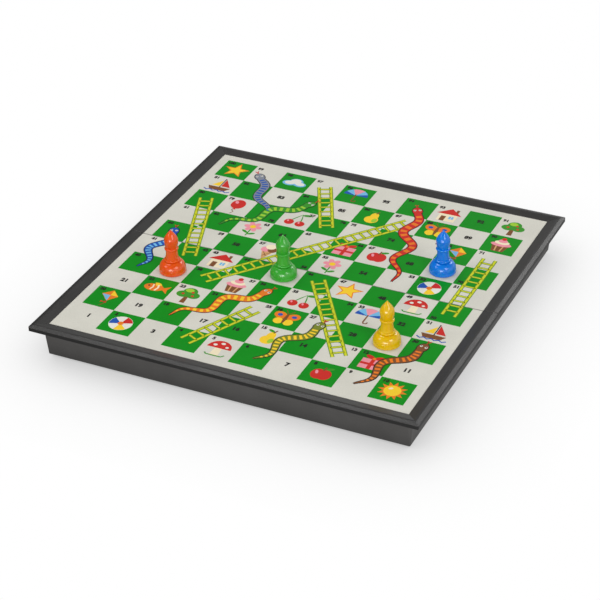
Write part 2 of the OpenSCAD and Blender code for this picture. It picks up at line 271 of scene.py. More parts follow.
class Finish(Graph):
    """One surface material on a principled shader, with patterns in the piece's own coordinates."""

    def __init__(self, name: str, **constants: Value) -> None:
        """Starts a material.

        Args:
            name: The material's name.
            **constants: Values that are the same all over the surface, by the shader input's name with _
                for spaces.
        """
        self.material = bpy.data.materials.new(name)
        self.material.use_nodes = True
        super().__init__(self.material.node_tree)
        self.tree.nodes.clear()
        self.shader = self.node("ShaderNodeBsdfPrincipled")
        self.node("ShaderNodeOutputMaterial", {"Surface": self.shader.outputs[0]})
        self.place = self.node("ShaderNodeTexCoord").outputs["Object"]
        for key, value in constants.items():
            self.shader.inputs[key.replace("_", " ")].default_value = value

    def noise(self, kind: Clouds | Relief) -> Socket:
        """Strength of a cloudy pattern, from 0 to 1."""
        place = self.node("ShaderNodeMapping", {"Vector": self.place, "Scale": kind.stretch}).outputs[0]
        inputs = {"Vector": place, "Scale": 1 / kind.size, "Detail": kind.detail}
        return self.node("ShaderNodeTexNoise", inputs).outputs["Fac"]

    def clouds(self, kind: Clouds) -> Socket:
        """Cloudy pattern between its two values."""
        return self.spread(self.noise(kind), kind.low, kind.high, kind.start, kind.end)

    def bumps(self, kind: Relief, under: Value = None) -> Socket:
        """Surface direction of a cloudy relief, which may lie on another direction than the mesh's own."""
        return self.relief(self.noise(kind), kind.depth, kind.share, under)

    def centred(self, middle: Place) -> Socket:
        """The piece's own coordinates, counted from a point on it."""
        shift = tuple(-axis for axis in middle)
        return self.node("ShaderNodeMapping", {"Vector": self.place, "Location": shift}).outputs[0]

    def blend(self, share: Value, first: Value, second: Value, how: str = "MIX") -> Socket:
        """Blends two colours and returns the result.

        Args:
            share: How much of the second colour shows.
            first: The first colour.
            second: The second colour.
            how: Blender's name of the way of blending.

        Returns:
            The result's socket.
        """
        mix = self.node("ShaderNodeMix", data_type="RGBA", blend_type=how)
        self.feed(mix.inputs[0], share)
        # The node's names repeat, so its colour sockets go by number: 6 and 7 in, 2 out
        for number, colour in ((6, first), (7, second)):
            self.feed(mix.inputs[number], (*colour, 1.0) if isinstance(colour, tuple) else colour)
        return mix.outputs[2]

    def relief(self, height: Value, depth: float, strength: float, under: Value = None) -> Socket:
        """Raises a fine relief.

        Args:
            height: The pattern that is raised.
            depth: Height of the relief, in metres.
            strength: Share of the relief that shows.
            under: Surface direction that the relief lies on, where it isn't the mesh's own.

        Returns:
            The new surface direction.
        """
        inputs = {"Height": height, "Distance": depth, "Strength": strength}
        if under is not None:
            inputs["Normal"] = under
        return self.node("ShaderNodeBump", inputs).outputs[0]

    def put(self, **inputs: Value) -> None:
        """Joins patterns to the shader's inputs, by the input's name with _ for spaces."""
        for key, value in inputs.items():
            self.feed(self.shader.inputs[key.replace("_", " ")], value)


@dataclass(frozen=True)
class CasePlastic:
    """Dark moulded plastic: spark-eroded texture, painted shade on the rim's outer face, painted light that
    makes the outer walls paler upwards.
    """

    top: float
    dark: Colour = linear(44, 43, 42)
    pale: Colour = linear(50, 49, 48)
    rubbed: Colour = linear(112, 108, 106)
    tone: Clouds = Clouds(30 * MM, 4.0)
    gloss: Clouds = Clouds(30 * MM, 4.0, 0.36, 0.46)
    grain: Relief = Relief(0.35 * MM, 0.06 * MM, 0.35)
    # Faces that lean less than the first share are upright, and those over the second are not
    lean: Point = (0.2, 0.3)
    # Walls that face the board's middle from further away than this are inner ones
    inside: float = -50 * MM
    # The rim's face, as depths below the rim's top, which takes painted shade
    face_low: float = 3.5 * MM
    face_high: float = 0.9 * MM
    # Painted shade: colour factor on the rim's outer face
    face_tone: float = 0.5
    # Painted light: colour factors at the wall's foot and just below the rim's face
    foot_tone: float = 1.4
    head_tone: float = 4.0
    # Wear shows where the rounded edge turns away from the face
    edge_r: float = 0.35 * MM
    edge_samples: int = 6
    edge_turn: Point = (0.8, 0.99)
    edge_wear: float = 0.5
    scuffs: Clouds = Clouds(3 * MM, 3.0, 0.2, 1.0)

    def upright_tone(self, finish: Finish) -> Socket:
        """Painted light and shade on the outer upright faces: painted light pales them from the foot to the
        rim, painted shade darkens the rim's own face.

        Args:
            finish: The finish that takes the tone.

        Returns:
            A factor for the colour, 1 on all other faces.
        """
        place = finish.node("ShaderNodeTexCoord").outputs
        height = finish.node("ShaderNodeSeparateXYZ", {0: place["Object"]}).outputs["Z"]
        facing = finish.node("ShaderNodeSeparateXYZ", {0: place["Normal"]}).outputs["Z"]
        upright = finish.spread(finish.calculate("ABSOLUTE", facing), 1.0, 0.0, *self.lean)
        outward = finish.along(place["Object"], place["Normal"])
        outside = finish.calculate("GREATER_THAN", outward, self.inside)
        upright = finish.calculate("MULTIPLY", upright, outside)
        # Painted light: the outer walls are made lighter from the foot up to the rim
        wall = finish.spread(height, self.foot_tone, self.head_tone, 0.0, self.top - self.face_low)
        # Painted shade: the band of the rim's outer face is made dark
        over_wall = finish.calculate("GREATER_THAN", height, self.top - self.face_low)
        under_bevel = finish.calculate("LESS_THAN", height, self.top - self.face_high)
        face = finish.calculate("MULTIPLY", over_wall, under_bevel)
        tone = finish.blend(face, finish.grey(wall), finish.grey(self.face_tone))
        return finish.blend(upright, WHITE_LIGHT, tone)

    def material(self) -> Material:
        """Builds the finish."""
        finish = Finish("case_plastic", IOR=1.5, Specular_IOR_Level=0.5)
        rounded = {"Radius": self.edge_r}
        soft_edge = finish.node("ShaderNodeBevel", rounded, samples=self.edge_samples).outputs[0]
        turn = finish.along(soft_edge, finish.node("ShaderNodeNewGeometry").outputs["True Normal"])
        body = finish.blend(finish.clouds(self.tone), self.dark, self.pale)
        # Painted light and shade on the outer upright faces multiply the plastic's colour
        body = finish.blend(1.0, body, self.upright_tone(finish), "MULTIPLY")
        edge = finish.spread(turn, self.edge_wear, 0.0, *self.edge_turn)
        worn = finish.calculate("MULTIPLY", edge, finish.clouds(self.scuffs))
        finish.put(
            Base_Color=finish.blend(worn, body, self.rubbed),
            Roughness=finish.clouds(self.gloss),
            Normal=finish.bumps(self.grain, soft_edge),
        )
        return finish.material


@dataclass(frozen=True)
class LaminatedInk:
    """Ink or bare paper under a satin film: slightly mottled, faint waves, painted shade along the fold."""

    name: str
    colour: Colour | None = None
    mottle: Clouds = Clouds(0.4 * MM, 2.0, 0.93, 1.05)
    wash: Clouds = Clouds(18 * MM, 3.0, 0.96, 1.03)
    gloss: Clouds = Clouds(6 * MM, 4.0, 0.3, 0.4)
    waves: Relief = Relief(9 * MM, 0.02 * MM, 0.3)
    fold_reach: float = 0.75 * MM
    fold_tone: float = 0.4
    fold_patches: Clouds = Clouds(3 * MM, 3.0, 0.7, 1.6)

    def fold_wear(self, finish: Finish) -> Socket:
        """Painted shade along the fold: the surface darkens towards the seam between the halves, in uneven
        patches.
        """
        across = finish.node("ShaderNodeSeparateXYZ", {0: finish.place}).outputs["Y"]
        away = finish.calculate("ABSOLUTE", across)
        reach = finish.calculate("MULTIPLY", away, finish.clouds(self.fold_patches))
        return finish.spread(reach, self.fold_tone, 1.0, 0.0, self.fold_reach)

    def material(self) -> Material:
        """Builds the finish, in one colour or in the colours that the plates carry."""
        finish = Finish(self.name, IOR=1.5, Specular_IOR_Level=0.12)
        if self.colour is None:
            colour = finish.node("ShaderNodeAttribute", attribute_name=INK_ATTRIBUTE).outputs["Color"]
        else:
            colour = self.colour
        print_tone = finish.calculate("MULTIPLY", finish.clouds(self.mottle), finish.clouds(self.wash))
        # Painted shade along the fold darkens the print's tone
        tone = finish.grey(finish.calculate("MULTIPLY", print_tone, self.fold_wear(finish)))
        finish.put(
            Base_Color=finish.blend(1.0, colour, tone, "MULTIPLY"),
            Roughness=finish.clouds(self.gloss),
            Normal=finish.bumps(self.waves),
        )
        return finish.material


@dataclass(frozen=True)
class PawnPlastic:
    """Glossy plastic that lets a little light in, with faint flow clouds and handling marks."""

    name: str
    colour: Colour
    depth: Colour
    light_reach: float = 2.5 * MM
    flow: Clouds = Clouds(5 * MM, 3.0, 0.0, 0.35, (1.0, 1.0, 0.4))
    gloss: Clouds = Clouds(1.2 * MM, 5.0, 0.12, 0.22, (1.0, 1.0, 0.25))
    dents: Relief = Relief(2.5 * MM, 0.02 * MM, 0.2)

    def material(self) -> Material:
        """Builds the finish."""
        finish = Finish(
            self.name, IOR=1.5, Subsurface_Weight=0.3, Subsurface_Scale=self.light_reach,
            Subsurface_Radius=self.colour, Coat_Weight=0.15, Coat_Roughness=0.05,
        )
        finish.put(
            Base_Color=finish.blend(finish.clouds(self.flow), self.colour, self.depth),
            Roughness=finish.clouds(self.gloss),
            Normal=finish.bumps(self.dents),
        )
        return finish.material


@dataclass(frozen=True)
class CapPlastic:
    """Matt plastic of the caps under the pawns, with turned tool marks."""

    name: str
    colour: Colour
    middle: Place
    dull_share: float = 0.8
    patches: Clouds = Clouds(2 * MM, 3.0, start=0.0, end=1.0)
    gloss: Clouds = Clouds(0.8 * MM, 2.0, 0.45, 0.6)
    rings_per_metre: float = 200.0
    ring_waver: float = 0.4
    ring_depth: float = 0.03 * MM
    ring_share: float = 0.3

    def material(self) -> Material:
        """Builds the finish."""
        finish = Finish(self.name, IOR=1.5, Specular_IOR_Level=0.4)
        marks = {
            "Vector": finish.centred(self.middle),
            "Scale": self.rings_per_metre,
            "Distortion": self.ring_waver,
        }
        rings = finish.node("ShaderNodeTexWave", marks, wave_type="RINGS", rings_direction="Z").outputs["Fac"]
        dull = tuple(self.dull_share * share for share in self.colour)
        finish.put(
            Base_Color=finish.blend(finish.clouds(self.patches), self.colour, dull),
            Roughness=finish.clouds(self.gloss),
            Normal=finish.relief(rings, self.ring_depth, self.ring_share),
        )
        return finish.material


@dataclass(frozen=True)
class Metal:
    """Bare metal with fine lines drawn along X and dull patches."""

    name: str
    bright: Colour
    dull: Colour
    gloss: Point
    lines: Relief = Relief(0.2 * MM, 0.01 * MM, 0.3, 2.0, (0.05, 1.0, 1.0))
    patches: Clouds = Clouds(7 * MM, 4.0)

    def material(self) -> Material:
        """Builds the finish."""
        finish = Finish(self.name, Metallic=1.0)
        along_lines = Clouds(self.lines.size, self.lines.detail, *self.gloss, self.lines.stretch)
        finish.put(
            Base_Color=finish.blend(finish.clouds(self.patches), self.bright, self.dull),
            Roughness=finish.clouds(along_lines),
            Normal=finish.bumps(self.lines),
        )
        return finish.material


@dataclass(frozen=True)
class Ferrite:
    """Pressed black magnet: dull, grainy, with a few pale dust marks."""

    dark: Colour = linear(48, 48, 51)
    dust: Colour = linear(96, 94, 92)
    marks: Clouds = Clouds(1.5 * MM, 5.0, start=0.55, end=0.75)
    gloss: Clouds = Clouds(0.25 * MM, 4.0, 0.5, 0.75)
    grain: Relief = Relief(0.25 * MM, 0.05 * MM, 0.5, 4.0)

    def material(self) -> Material:
        """Builds the finish."""
        finish = Finish("magnet_ferrite", IOR=1.9)
        finish.put(
            Base_Color=finish.blend(finish.clouds(self.marks), self.dark, self.dust),
            Roughness=finish.clouds(self.gloss),
            Normal=finish.bumps(self.grain),
        )
        return finish.material


@dataclass(frozen=True)
class DiePlastic:
    """Polished white plastic with dark paint in the pips' hollows."""

    middle: Vector
    half: float
    trim_r: float
    white: Colour = linear(236, 233, 226)
    warm: Colour = linear(226, 221, 210)
    paint: Colour = linear(24, 24, 26)
    face_play: float = 0.03 * MM
    trim_play: float = 0.15 * MM
    tone: Clouds = Clouds(4 * MM, 3.0)
    gloss: Clouds = Clouds(1 * MM, 4.0, 0.14, 0.26)
    dents: Relief = Relief(2 * MM, 0.02 * MM, 0.2)

    def material(self) -> Material:
        """Builds the finish: a point below the flat faces and inside the trimming ball lies in a hollow."""
        finish = Finish("die_plastic", IOR=1.5, Coat_Weight=0.3, Coat_Roughness=0.06)
        place = finish.centred(self.middle)
        axes = finish.node("ShaderNodeSeparateXYZ", {0: place})
        sizes = [finish.calculate("ABSOLUTE", axes.outputs[i]) for i in range(3)]
        widest = finish.calculate("MAXIMUM", finish.calculate("MAXIMUM", sizes[0], sizes[1]), sizes[2])
        radius = finish.node("ShaderNodeVectorMath", {0: place}, operation="LENGTH").outputs["Value"]
        sunk = finish.calculate("LESS_THAN", widest, self.half - self.face_play)
        inside = finish.calculate("LESS_THAN", radius, self.trim_r - self.trim_play)
        painted = finish.calculate("MULTIPLY", sunk, inside)
        body = finish.blend(finish.clouds(self.tone), self.white, self.warm)
        finish.put(
            Base_Color=finish.blend(painted, body, self.paint),
            Roughness=finish.clouds(self.gloss),
            Normal=finish.bumps(self.dents),
        )
        return finish.material


def plain_mesh(carrier: Piece) -> Mesh:
    """Turns an object with its modifiers, or letters, into a plain mesh, and drops the object.

    Args:
        carrier: The object, which isn't in the scene yet.

    Returns:
        The mesh.
    """
    bpy.context.scene.collection.objects.link(carrier)
    drawn = carrier.evaluated_get(bpy.context.evaluated_depsgraph_get())
    mesh = bpy.data.meshes.new_from_object(drawn)
    bpy.data.objects.remove(carrier)
    return mesh


class ShapeTree(Graph):
    """Geometry node tree with named inputs that makes plain meshes."""

    def __init__(self, name: str, inputs: dict[str, str]) -> None:
        """Starts a tree.

        Args:
            name: The tree's name.
            inputs: Kind of socket for each input's name.
        """
        super().__init__(bpy.data.node_groups.new(name, "GeometryNodeTree"))
        sockets = self.tree.interface
        sockets.new_socket("Geometry", in_out="OUTPUT", socket_type="NodeSocketGeometry")
        self.keys = {
            word: sockets.new_socket(word, in_out="INPUT", socket_type=f"NodeSocket{kind}").identifier
            for word, kind in inputs.items()
        }
        self.given = self.node("NodeGroupInput").outputs

    def vector(self, x: Value = 0.0, y: Value = 0.0, z: Value = 0.0) -> Socket:
        """Joins three numbers to a vector."""
        return self.node("ShaderNodeCombineXYZ", {0: x, 1: y, 2: z}).outputs[0]

    def scaled(self, vector: Value, factor: float) -> Socket:
        """Multiplies a vector by a number."""
        return self.combine("MULTIPLY", vector, (factor, factor, factor))

    def box(self, x: Value, y: Value, z: Value) -> Socket:
        """Makes a box of that width, length and height about its middle."""
        return self.node("GeometryNodeMeshCube", {"Size": self.vector(x, y, z)}).outputs["Mesh"]

    def row(self, count: Value, start: Value, step: Value) -> Socket:
        """Makes a row of points."""
        inputs = {"Count": count, "Start Location": start, "Offset": step}
        return self.node("GeometryNodeMeshLine", inputs).outputs[0]

    def copies(self, points: Value, shape: Value, chosen: Value = True) -> Socket:
        """Sets a shape on the chosen points."""
        inputs = {"Points": points, "Selection": chosen, "Instance": shape}
        return self.node("GeometryNodeInstanceOnPoints", inputs).outputs[0]

    def end(self, geometry: Socket) -> None:
        """Ends the tree: makes the instances real, gives them their material and hands them out."""
        real = self.node("GeometryNodeRealizeInstances", {0: geometry}).outputs[0]
        dressed = self.node("GeometryNodeSetMaterial", {"Geometry": real, "Material": self.given["Material"]})
        self.node("NodeGroupOutput", {0: dressed.outputs[0]})

    def grow(self, values: dict[str, Value]) -> Mesh:
        """Runs the tree once.

        Args:
            values: A value for each named input.

        Returns:
            The plain mesh that the tree makes.
        """
        carrier = bpy.data.objects.new(self.tree.name, bpy.data.meshes.new(self.tree.name))
        modifier = carrier.modifiers.new("shape", "NODES")
        modifier.node_group = self.tree
        for word, value in values.items():
            modifier[self.keys[word]] = value
        return plain_mesh(carrier)


@dataclass(frozen=True)
class Board:
    """Where the squares lie on the print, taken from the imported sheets, and how thick the ink is."""

    squares: int = 10
    margin: float = 6.3 * MM
    sheet_play: float = 0.2 * MM
    ink_step: float = 0.012 * MM
    ink_sink: float = 0.01 * MM

    @property
    def print_z(self) -> float:
        """Height of the print's upper face."""
        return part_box("front_print_sheet")[1].z

    @property
    def ink_low(self) -> float:
        """Height of the lower face of all ink, just inside the sheet."""
        return self.print_z - self.ink_sink

    @property
    def fold_gap(self) -> float:
        """Distance of each sheet's edge from the middle of the fold."""
        return -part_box("front_print_sheet")[1].y

    @property
    def cell(self) -> float:
        """Side of one square."""
        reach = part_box("front_print_sheet")[1].x + self.sheet_play
        return (reach - self.margin) * 2 / self.squares

    def at(self, point: Point) -> Point:
        """Place on the board, in metres, of a point in squares from the front left corner."""
        middle = self.squares / 2
        return (point[0] - middle) * self.cell, (point[1] - middle) * self.cell

    def height(self, level: float) -> float:
        """Height of the upper face of one level of ink."""
        return self.print_z + self.ink_step * level

    def number(self, column: int, row: int) -> int:
        """Number of a square: rows run to and fro, from the front left."""
        along = column if row % 2 == 0 else self.squares - 1 - column
        return row * self.squares + along + 1


class InkPlates:
    """Plates of ink that are gathered in one mesh, cut at the fold and laid on the two halves."""

    def __init__(self, board: Board, name: str) -> None:
        """Starts with no plates.

        Args:
            board: The board that the plates lie on.
            name: What the plates show, as the end of their pieces' names.
        """
        self.board = board
        self.name = name
        self.shape = bmesh.new()
        self.colour = self.shape.loops.layers.float_color.new(INK_ATTRIBUTE)

    def plate(self, outline: list[Point], ink: Ink, level: float) -> None:
        """Adds one closed plate.

        Args:
            outline: Its corners, in squares from the front left corner.
            ink: Its ink.
            level: Which level of ink its upper face is.
        """
        area = sum(a[0] * b[1] - b[0] * a[1] for a, b in zip(outline, outline[1:] + outline[:1]))
        corners = [self.board.at(point) for point in (outline if area > 0 else outline[::-1])]
        low = self.board.ink_low
        high = self.board.height(level)
        under = [self.shape.verts.new((x, y, low)) for x, y in corners]
        upper = [self.shape.verts.new((x, y, high)) for x, y in corners]
        faces = [self.shape.faces.new(upper), self.shape.faces.new(under[::-1])]
        for i, corner in enumerate(upper):
            faces.append(self.shape.faces.new((under[i - 1], under[i], corner, upper[i - 1])))
        for face in faces:
            for loop in face.loops:
                loop[self.colour] = (*ink.light, 1.0)

    def add_mesh(self, mesh: Mesh) -> None:
        """Adds a mesh that is already in place, and drops it."""
        self.shape.from_mesh(mesh)
        bpy.data.meshes.remove(mesh)

    def lay(self, material: Material) -> None:
        """Cuts the plates at the fold and lays each half's share on its half."""
        for half in Half:
            self.lay_share(half, material)
        self.shape.free()

    def lay_share(self, half: Half, material: Material) -> None:
        """Cuts out one half's share as a piece that rides on that half."""
        work = self.shape.copy()
        side = half.value
        cut = bmesh.ops.bisect_plane(
            work,
            geom=work.verts[:] + work.edges[:] + work.faces[:],
            plane_co=(0.0, side * self.board.fold_gap, 0.0),
            plane_no=(0.0, -side, 0.0),
            clear_outer=True,
        )
        open_edges = [part for part in cut["geom_cut"] if isinstance(part, bmesh.types.BMEdge)]
        closed = bmesh.ops.holes_fill(work, edges=open_edges, sides=0)["faces"]
        colour = work.loops.layers.float_color[INK_ATTRIBUTE]
        for face in closed:
            for loop in face.loops:
                loop[colour] = loop.link_loop_radial_next[colour]
        bmesh.ops.recalc_face_normals(work, faces=work.faces[:])
        piece = new_piece(f"{half.word}_{self.name}", work, material)
        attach(piece, half.body)
        LOG.info("%s: %d faces", piece.name, len(piece.data.polygons))


def new_piece(name: str, shape: bmesh.types.BMesh, material: Material) -> Piece:
    """Makes an object of a finished shape, and frees the shape.

    Args:
        name: The piece's name.
        shape: Its shape, in place.
        material: Its finish.

    Returns:
        The object, at the origin.
    """
    mesh = bpy.data.meshes.new(name)
    shape.to_mesh(mesh)
    shape.free()
    mesh.materials.append(material)
    piece = bpy.data.objects.new(name, mesh)
    bpy.context.scene.collection.objects.link(piece)
    return piece


@dataclass(frozen=True)
class GreenSquares:
    """The green squares of the checkered field."""

    board: Board
    level: float = 1.0
    gap: float = 0.02 * MM

    def tree(self) -> ShapeTree:
        """Builds the tree that sets a plate on every second point of a grid."""
        tree = ShapeTree("green_squares", {
            "Cell": "Float", "Gap": "Float", "Squares": "Int", "Low": "Float", "High": "Float",
            "Material": "Material",
        })
        given = tree.given
        count = given["Squares"]
        reach = tree.calculate("MULTIPLY", tree.calculate("SUBTRACT", count, 1.0), given["Cell"])
        grid = tree.node("GeometryNodeMeshGrid", {
            "Size X": reach, "Size Y": reach, "Vertices X": count, "Vertices Y": count,
        }).outputs["Mesh"]
        number = tree.node("GeometryNodeInputIndex").outputs[0]
        column = tree.calculate("FLOOR", tree.calculate("DIVIDE", tree.calculate("ADD", number, 0.5), count))
        row = tree.calculate("MODULO", number, count)
        is_green = tree.calculate("MODULO", tree.calculate("ADD", column, row), 2.0)
        side = tree.calculate("SUBTRACT", given["Cell"], given["Gap"])
        plate = tree.box(side, side, tree.calculate("SUBTRACT", given["High"], given["Low"]))
        middle = tree.calculate("MULTIPLY", tree.calculate("ADD", given["High"], given["Low"]), 0.5)
        lift = {"Geometry": grid, "Translation": tree.vector(z=middle)}
        raised = tree.node("GeometryNodeTransform", lift).outputs[0]
        tree.end(tree.copies(raised, plate, is_green))
        return tree

    def build(self, material: Material) -> None:
        """Prints the squares on both halves."""
        plates = InkPlates(self.board, "green_squares")
        plates.add_mesh(self.tree().grow({
            "Cell": self.board.cell,
            "Gap": self.gap,
            "Squares": self.board.squares,
            "Low": self.board.ink_low,
            "High": self.board.height(self.level),
            "Material": material,
        }))
        plates.lay(material)


@dataclass(frozen=True)
class Trail:
    """Band of the board that a ladder or a snake covers."""

    path: list[Point]
    half_w: float

    def room(self, point: Point) -> float:
        """Distance from a point to the band's edge."""
        return min(self.reach(point, a, b) for a, b in zip(self.path, self.path[1:])) - self.half_w

    @staticmethod
    def reach(point: Point, start: Point, end: Point) -> float:
        """Distance from a point to one straight stretch."""
        way = Vector(end) - Vector(start)
        off = Vector(point) - Vector(start)
        share = min(max(off.dot(way) / way.dot(way), 0.0), 1.0)
        return (off - way * share).length


@dataclass(frozen=True)
class Ladders:
    """Printed ladders: two rails and evenly spaced rungs, over a dark edge."""

    board: Board
    places: tuple[tuple[Point, Point], ...] = (
        ((3.5, 0.45), (4.55, 2.6)),
        ((7.6, 1.4), (5.5, 4.65)),
        ((2.5, 3.45), (6.6, 8.6)),
        ((1.55, 4.4), (0.45, 7.6)),
        ((9.5, 4.4), (9.5, 7.6)),
        ((4.5, 7.4), (3.45, 9.6)),
    )
    spread: float = 0.36
    rail_w: float = 0.066
    rung_w: float = 0.05
    rung_pitch: float = 0.27
    edge_w: float = 0.022
    edge_level: float = 4.0
    level: float = 5.0

    def tree(self) -> ShapeTree:
        """Builds the tree that makes one ladder between two points."""
        tree = ShapeTree("ladder", {
            "Foot": "Vector", "Head": "Vector", "Spread": "Float", "Rail width": "Float",
            "Rung width": "Float", "Rung pitch": "Float", "Thickness": "Float", "Material": "Material",
        })
        given = tree.given
        pitch = given["Rung pitch"]
        thick = given["Thickness"]
        way = tree.combine("SUBTRACT", given["Head"], given["Foot"])
        length = tree.node("ShaderNodeVectorMath", {0: way}, operation="LENGTH").outputs["Value"]
        along = tree.node("ShaderNodeVectorMath", {0: way}, operation="NORMALIZE").outputs[0]
        turn = tree.node(
            "FunctionNodeAlignRotationToVector", {"Vector": along}, axis="Y", pivot_axis="Z"
        ).outputs[0]
        across = tree.vector(given["Spread"])
        rail_places = tree.row(2, tree.scaled(across, 0.5), tree.scaled(across, -1.0))
        rails = tree.copies(rail_places, tree.box(given["Rail width"], length, thick))
        count = tree.calculate("FLOOR", tree.calculate("DIVIDE", length, pitch))
        reach = tree.calculate("MULTIPLY", tree.calculate("SUBTRACT", count, 1.0), pitch)
        first = tree.vector(y=tree.calculate("MULTIPLY", reach, -0.5))
        rung_places = tree.row(count, first, tree.vector(y=pitch))
        rungs = tree.copies(rung_places, tree.box(given["Spread"], given["Rung width"], thick))
        joined = tree.node("GeometryNodeJoinGeometry")
        for part in (rails, rungs):
            tree.feed(joined.inputs[0], part)
        middle = tree.scaled(tree.combine("ADD", given["Head"], given["Foot"]), 0.5)
        laid = {"Geometry": joined.outputs[0], "Translation": middle, "Rotation": turn}
        tree.end(tree.node("GeometryNodeTransform", laid).outputs[0])
        return tree

    def build(self, edge: Material, fill: Material) -> None:
        """Prints all ladders, first their dark edges and then their fill.

        Args:
            edge: Finish of the dark edges.
            fill: Finish of the rails and rungs.
        """
        tree = self.tree()
        for name, material, level, extra in (
            ("ladder_edges", edge, self.edge_level, self.edge_w), ("ladders", fill, self.level, 0.0)
        ):
            plates = InkPlates(self.board, name)
            for foot, head in self.places:
                plates.add_mesh(tree.grow(self.values(foot, head, level, extra, material)))
            plates.lay(material)

    def trails(self) -> list[Trail]:
        """Bands that the ladders cover."""
        return [Trail([foot, head], (self.spread + self.rail_w) / 2) for foot, head in self.places]

    def values(
        self, foot: Point, head: Point, level: float, extra: float, material: Material
    ) -> dict[str, Value]:
        """Sizes of one ladder for its tree.

        Args:
            foot: Where the ladder starts, in squares.
            head: Where it ends, in squares.
            level: Its level of ink.
            extra: How much wider each side of its rails and rungs is, in squares.
            material: Its finish.

        Returns:
            A value for each input.
        """
        low = self.board.ink_low
        high = self.board.height(level)
        middle = (low + high) / 2
        return {
            "Foot": (*self.board.at(foot), middle),
            "Head": (*self.board.at(head), middle),
            "Spread": self.spread * self.board.cell,
            "Rail width": (self.rail_w + 2 * extra) * self.board.cell,
            "Rung width": (self.rung_w + 2 * extra) * self.board.cell,
            "Rung pitch": self.rung_pitch * self.board.cell,
            "Thickness": high - low,
            "Material": material,
        }


@dataclass(frozen=True)
class Oval:
    """Round or oval patch of ink."""

    ink: Ink
    x: float
    y: float
    rx: float
    ry: float
    turn: float = 0.0
    steps: int = 24

    def outline(self) -> list[Point]:
        """Points round the oval."""
        angles = [2 * math.pi * i / self.steps for i in range(self.steps)]
        round_points = [(self.x + self.rx * math.cos(a), self.y + self.ry * math.sin(a)) for a in angles]
        return [turned(point, self.turn, (self.x, self.y)) for point in round_points]


@dataclass(frozen=True)
class Wedge:
    """Slice of a disc, from one angle to another."""

    ink: Ink
    x: float
    y: float
    r: float
    start: float
    end: float
    steps: int = 12

    def outline(self) -> list[Point]:
        """Points along the arc, and the disc's middle."""
        step = (self.end - self.start) / self.steps
        angles = [math.radians(self.start + step * i) for i in range(self.steps + 1)]
        arc = [(self.x + self.r * math.cos(a), self.y + self.r * math.sin(a)) for a in angles]
        return [(self.x, self.y)] + arc


@dataclass(frozen=True)
class Burst:
    """Star with any number of points."""

    ink: Ink
    x: float
    y: float
    outer: float
    inner: float
    count: int

    def outline(self) -> list[Point]:
        """Points of the star, from its top round to the left."""
        points = []
        for i in range(2 * self.count):
            angle = math.pi / 2 + math.pi * i / self.count
            r = self.outer if i % 2 == 0 else self.inner
            points.append((self.x + r * math.cos(angle), self.y + r * math.sin(angle)))
        return points


@dataclass(frozen=True)
class Patch:
    """Patch of ink with straight sides."""

    ink: Ink
    points: tuple[Point, ...]

    def outline(self) -> list[Point]:
        """Corners of the patch."""
        return list(self.points)


@dataclass(frozen=True)
class Line:
    """Drawn line of even width."""

    ink: Ink
    width: float
    points: tuple[Point, ...]

    def outline(self) -> list[Point]:
        """Points up one side of the line and down the other."""
        return ribbon(list(self.points), [self.width] * len(self.points))


Drawn = Oval | Wedge | Burst | Patch | Line


def ribbon(path: list[Point], widths: list[float]) -> list[Point]:
    """Outline of a band along a path.

    Args:
        path: Points along the middle of the band.
        widths: Width of the band at each point.

    Returns:
        Points up one side of the band and down the other.
    """
    left = []
    right = []
    for i, (x, y) in enumerate(path):
        before = path[max(i - 1, 0)]
        after = path[min(i + 1, len(path) - 1)]
        way = Vector((after[0] - before[0], after[1] - before[1])).normalized()
        half = widths[i] / 2
        left.append((x - way.y * half, y + way.x * half))
        right.append((x + way.y * half, y - way.x * half))
    return left + right[::-1]


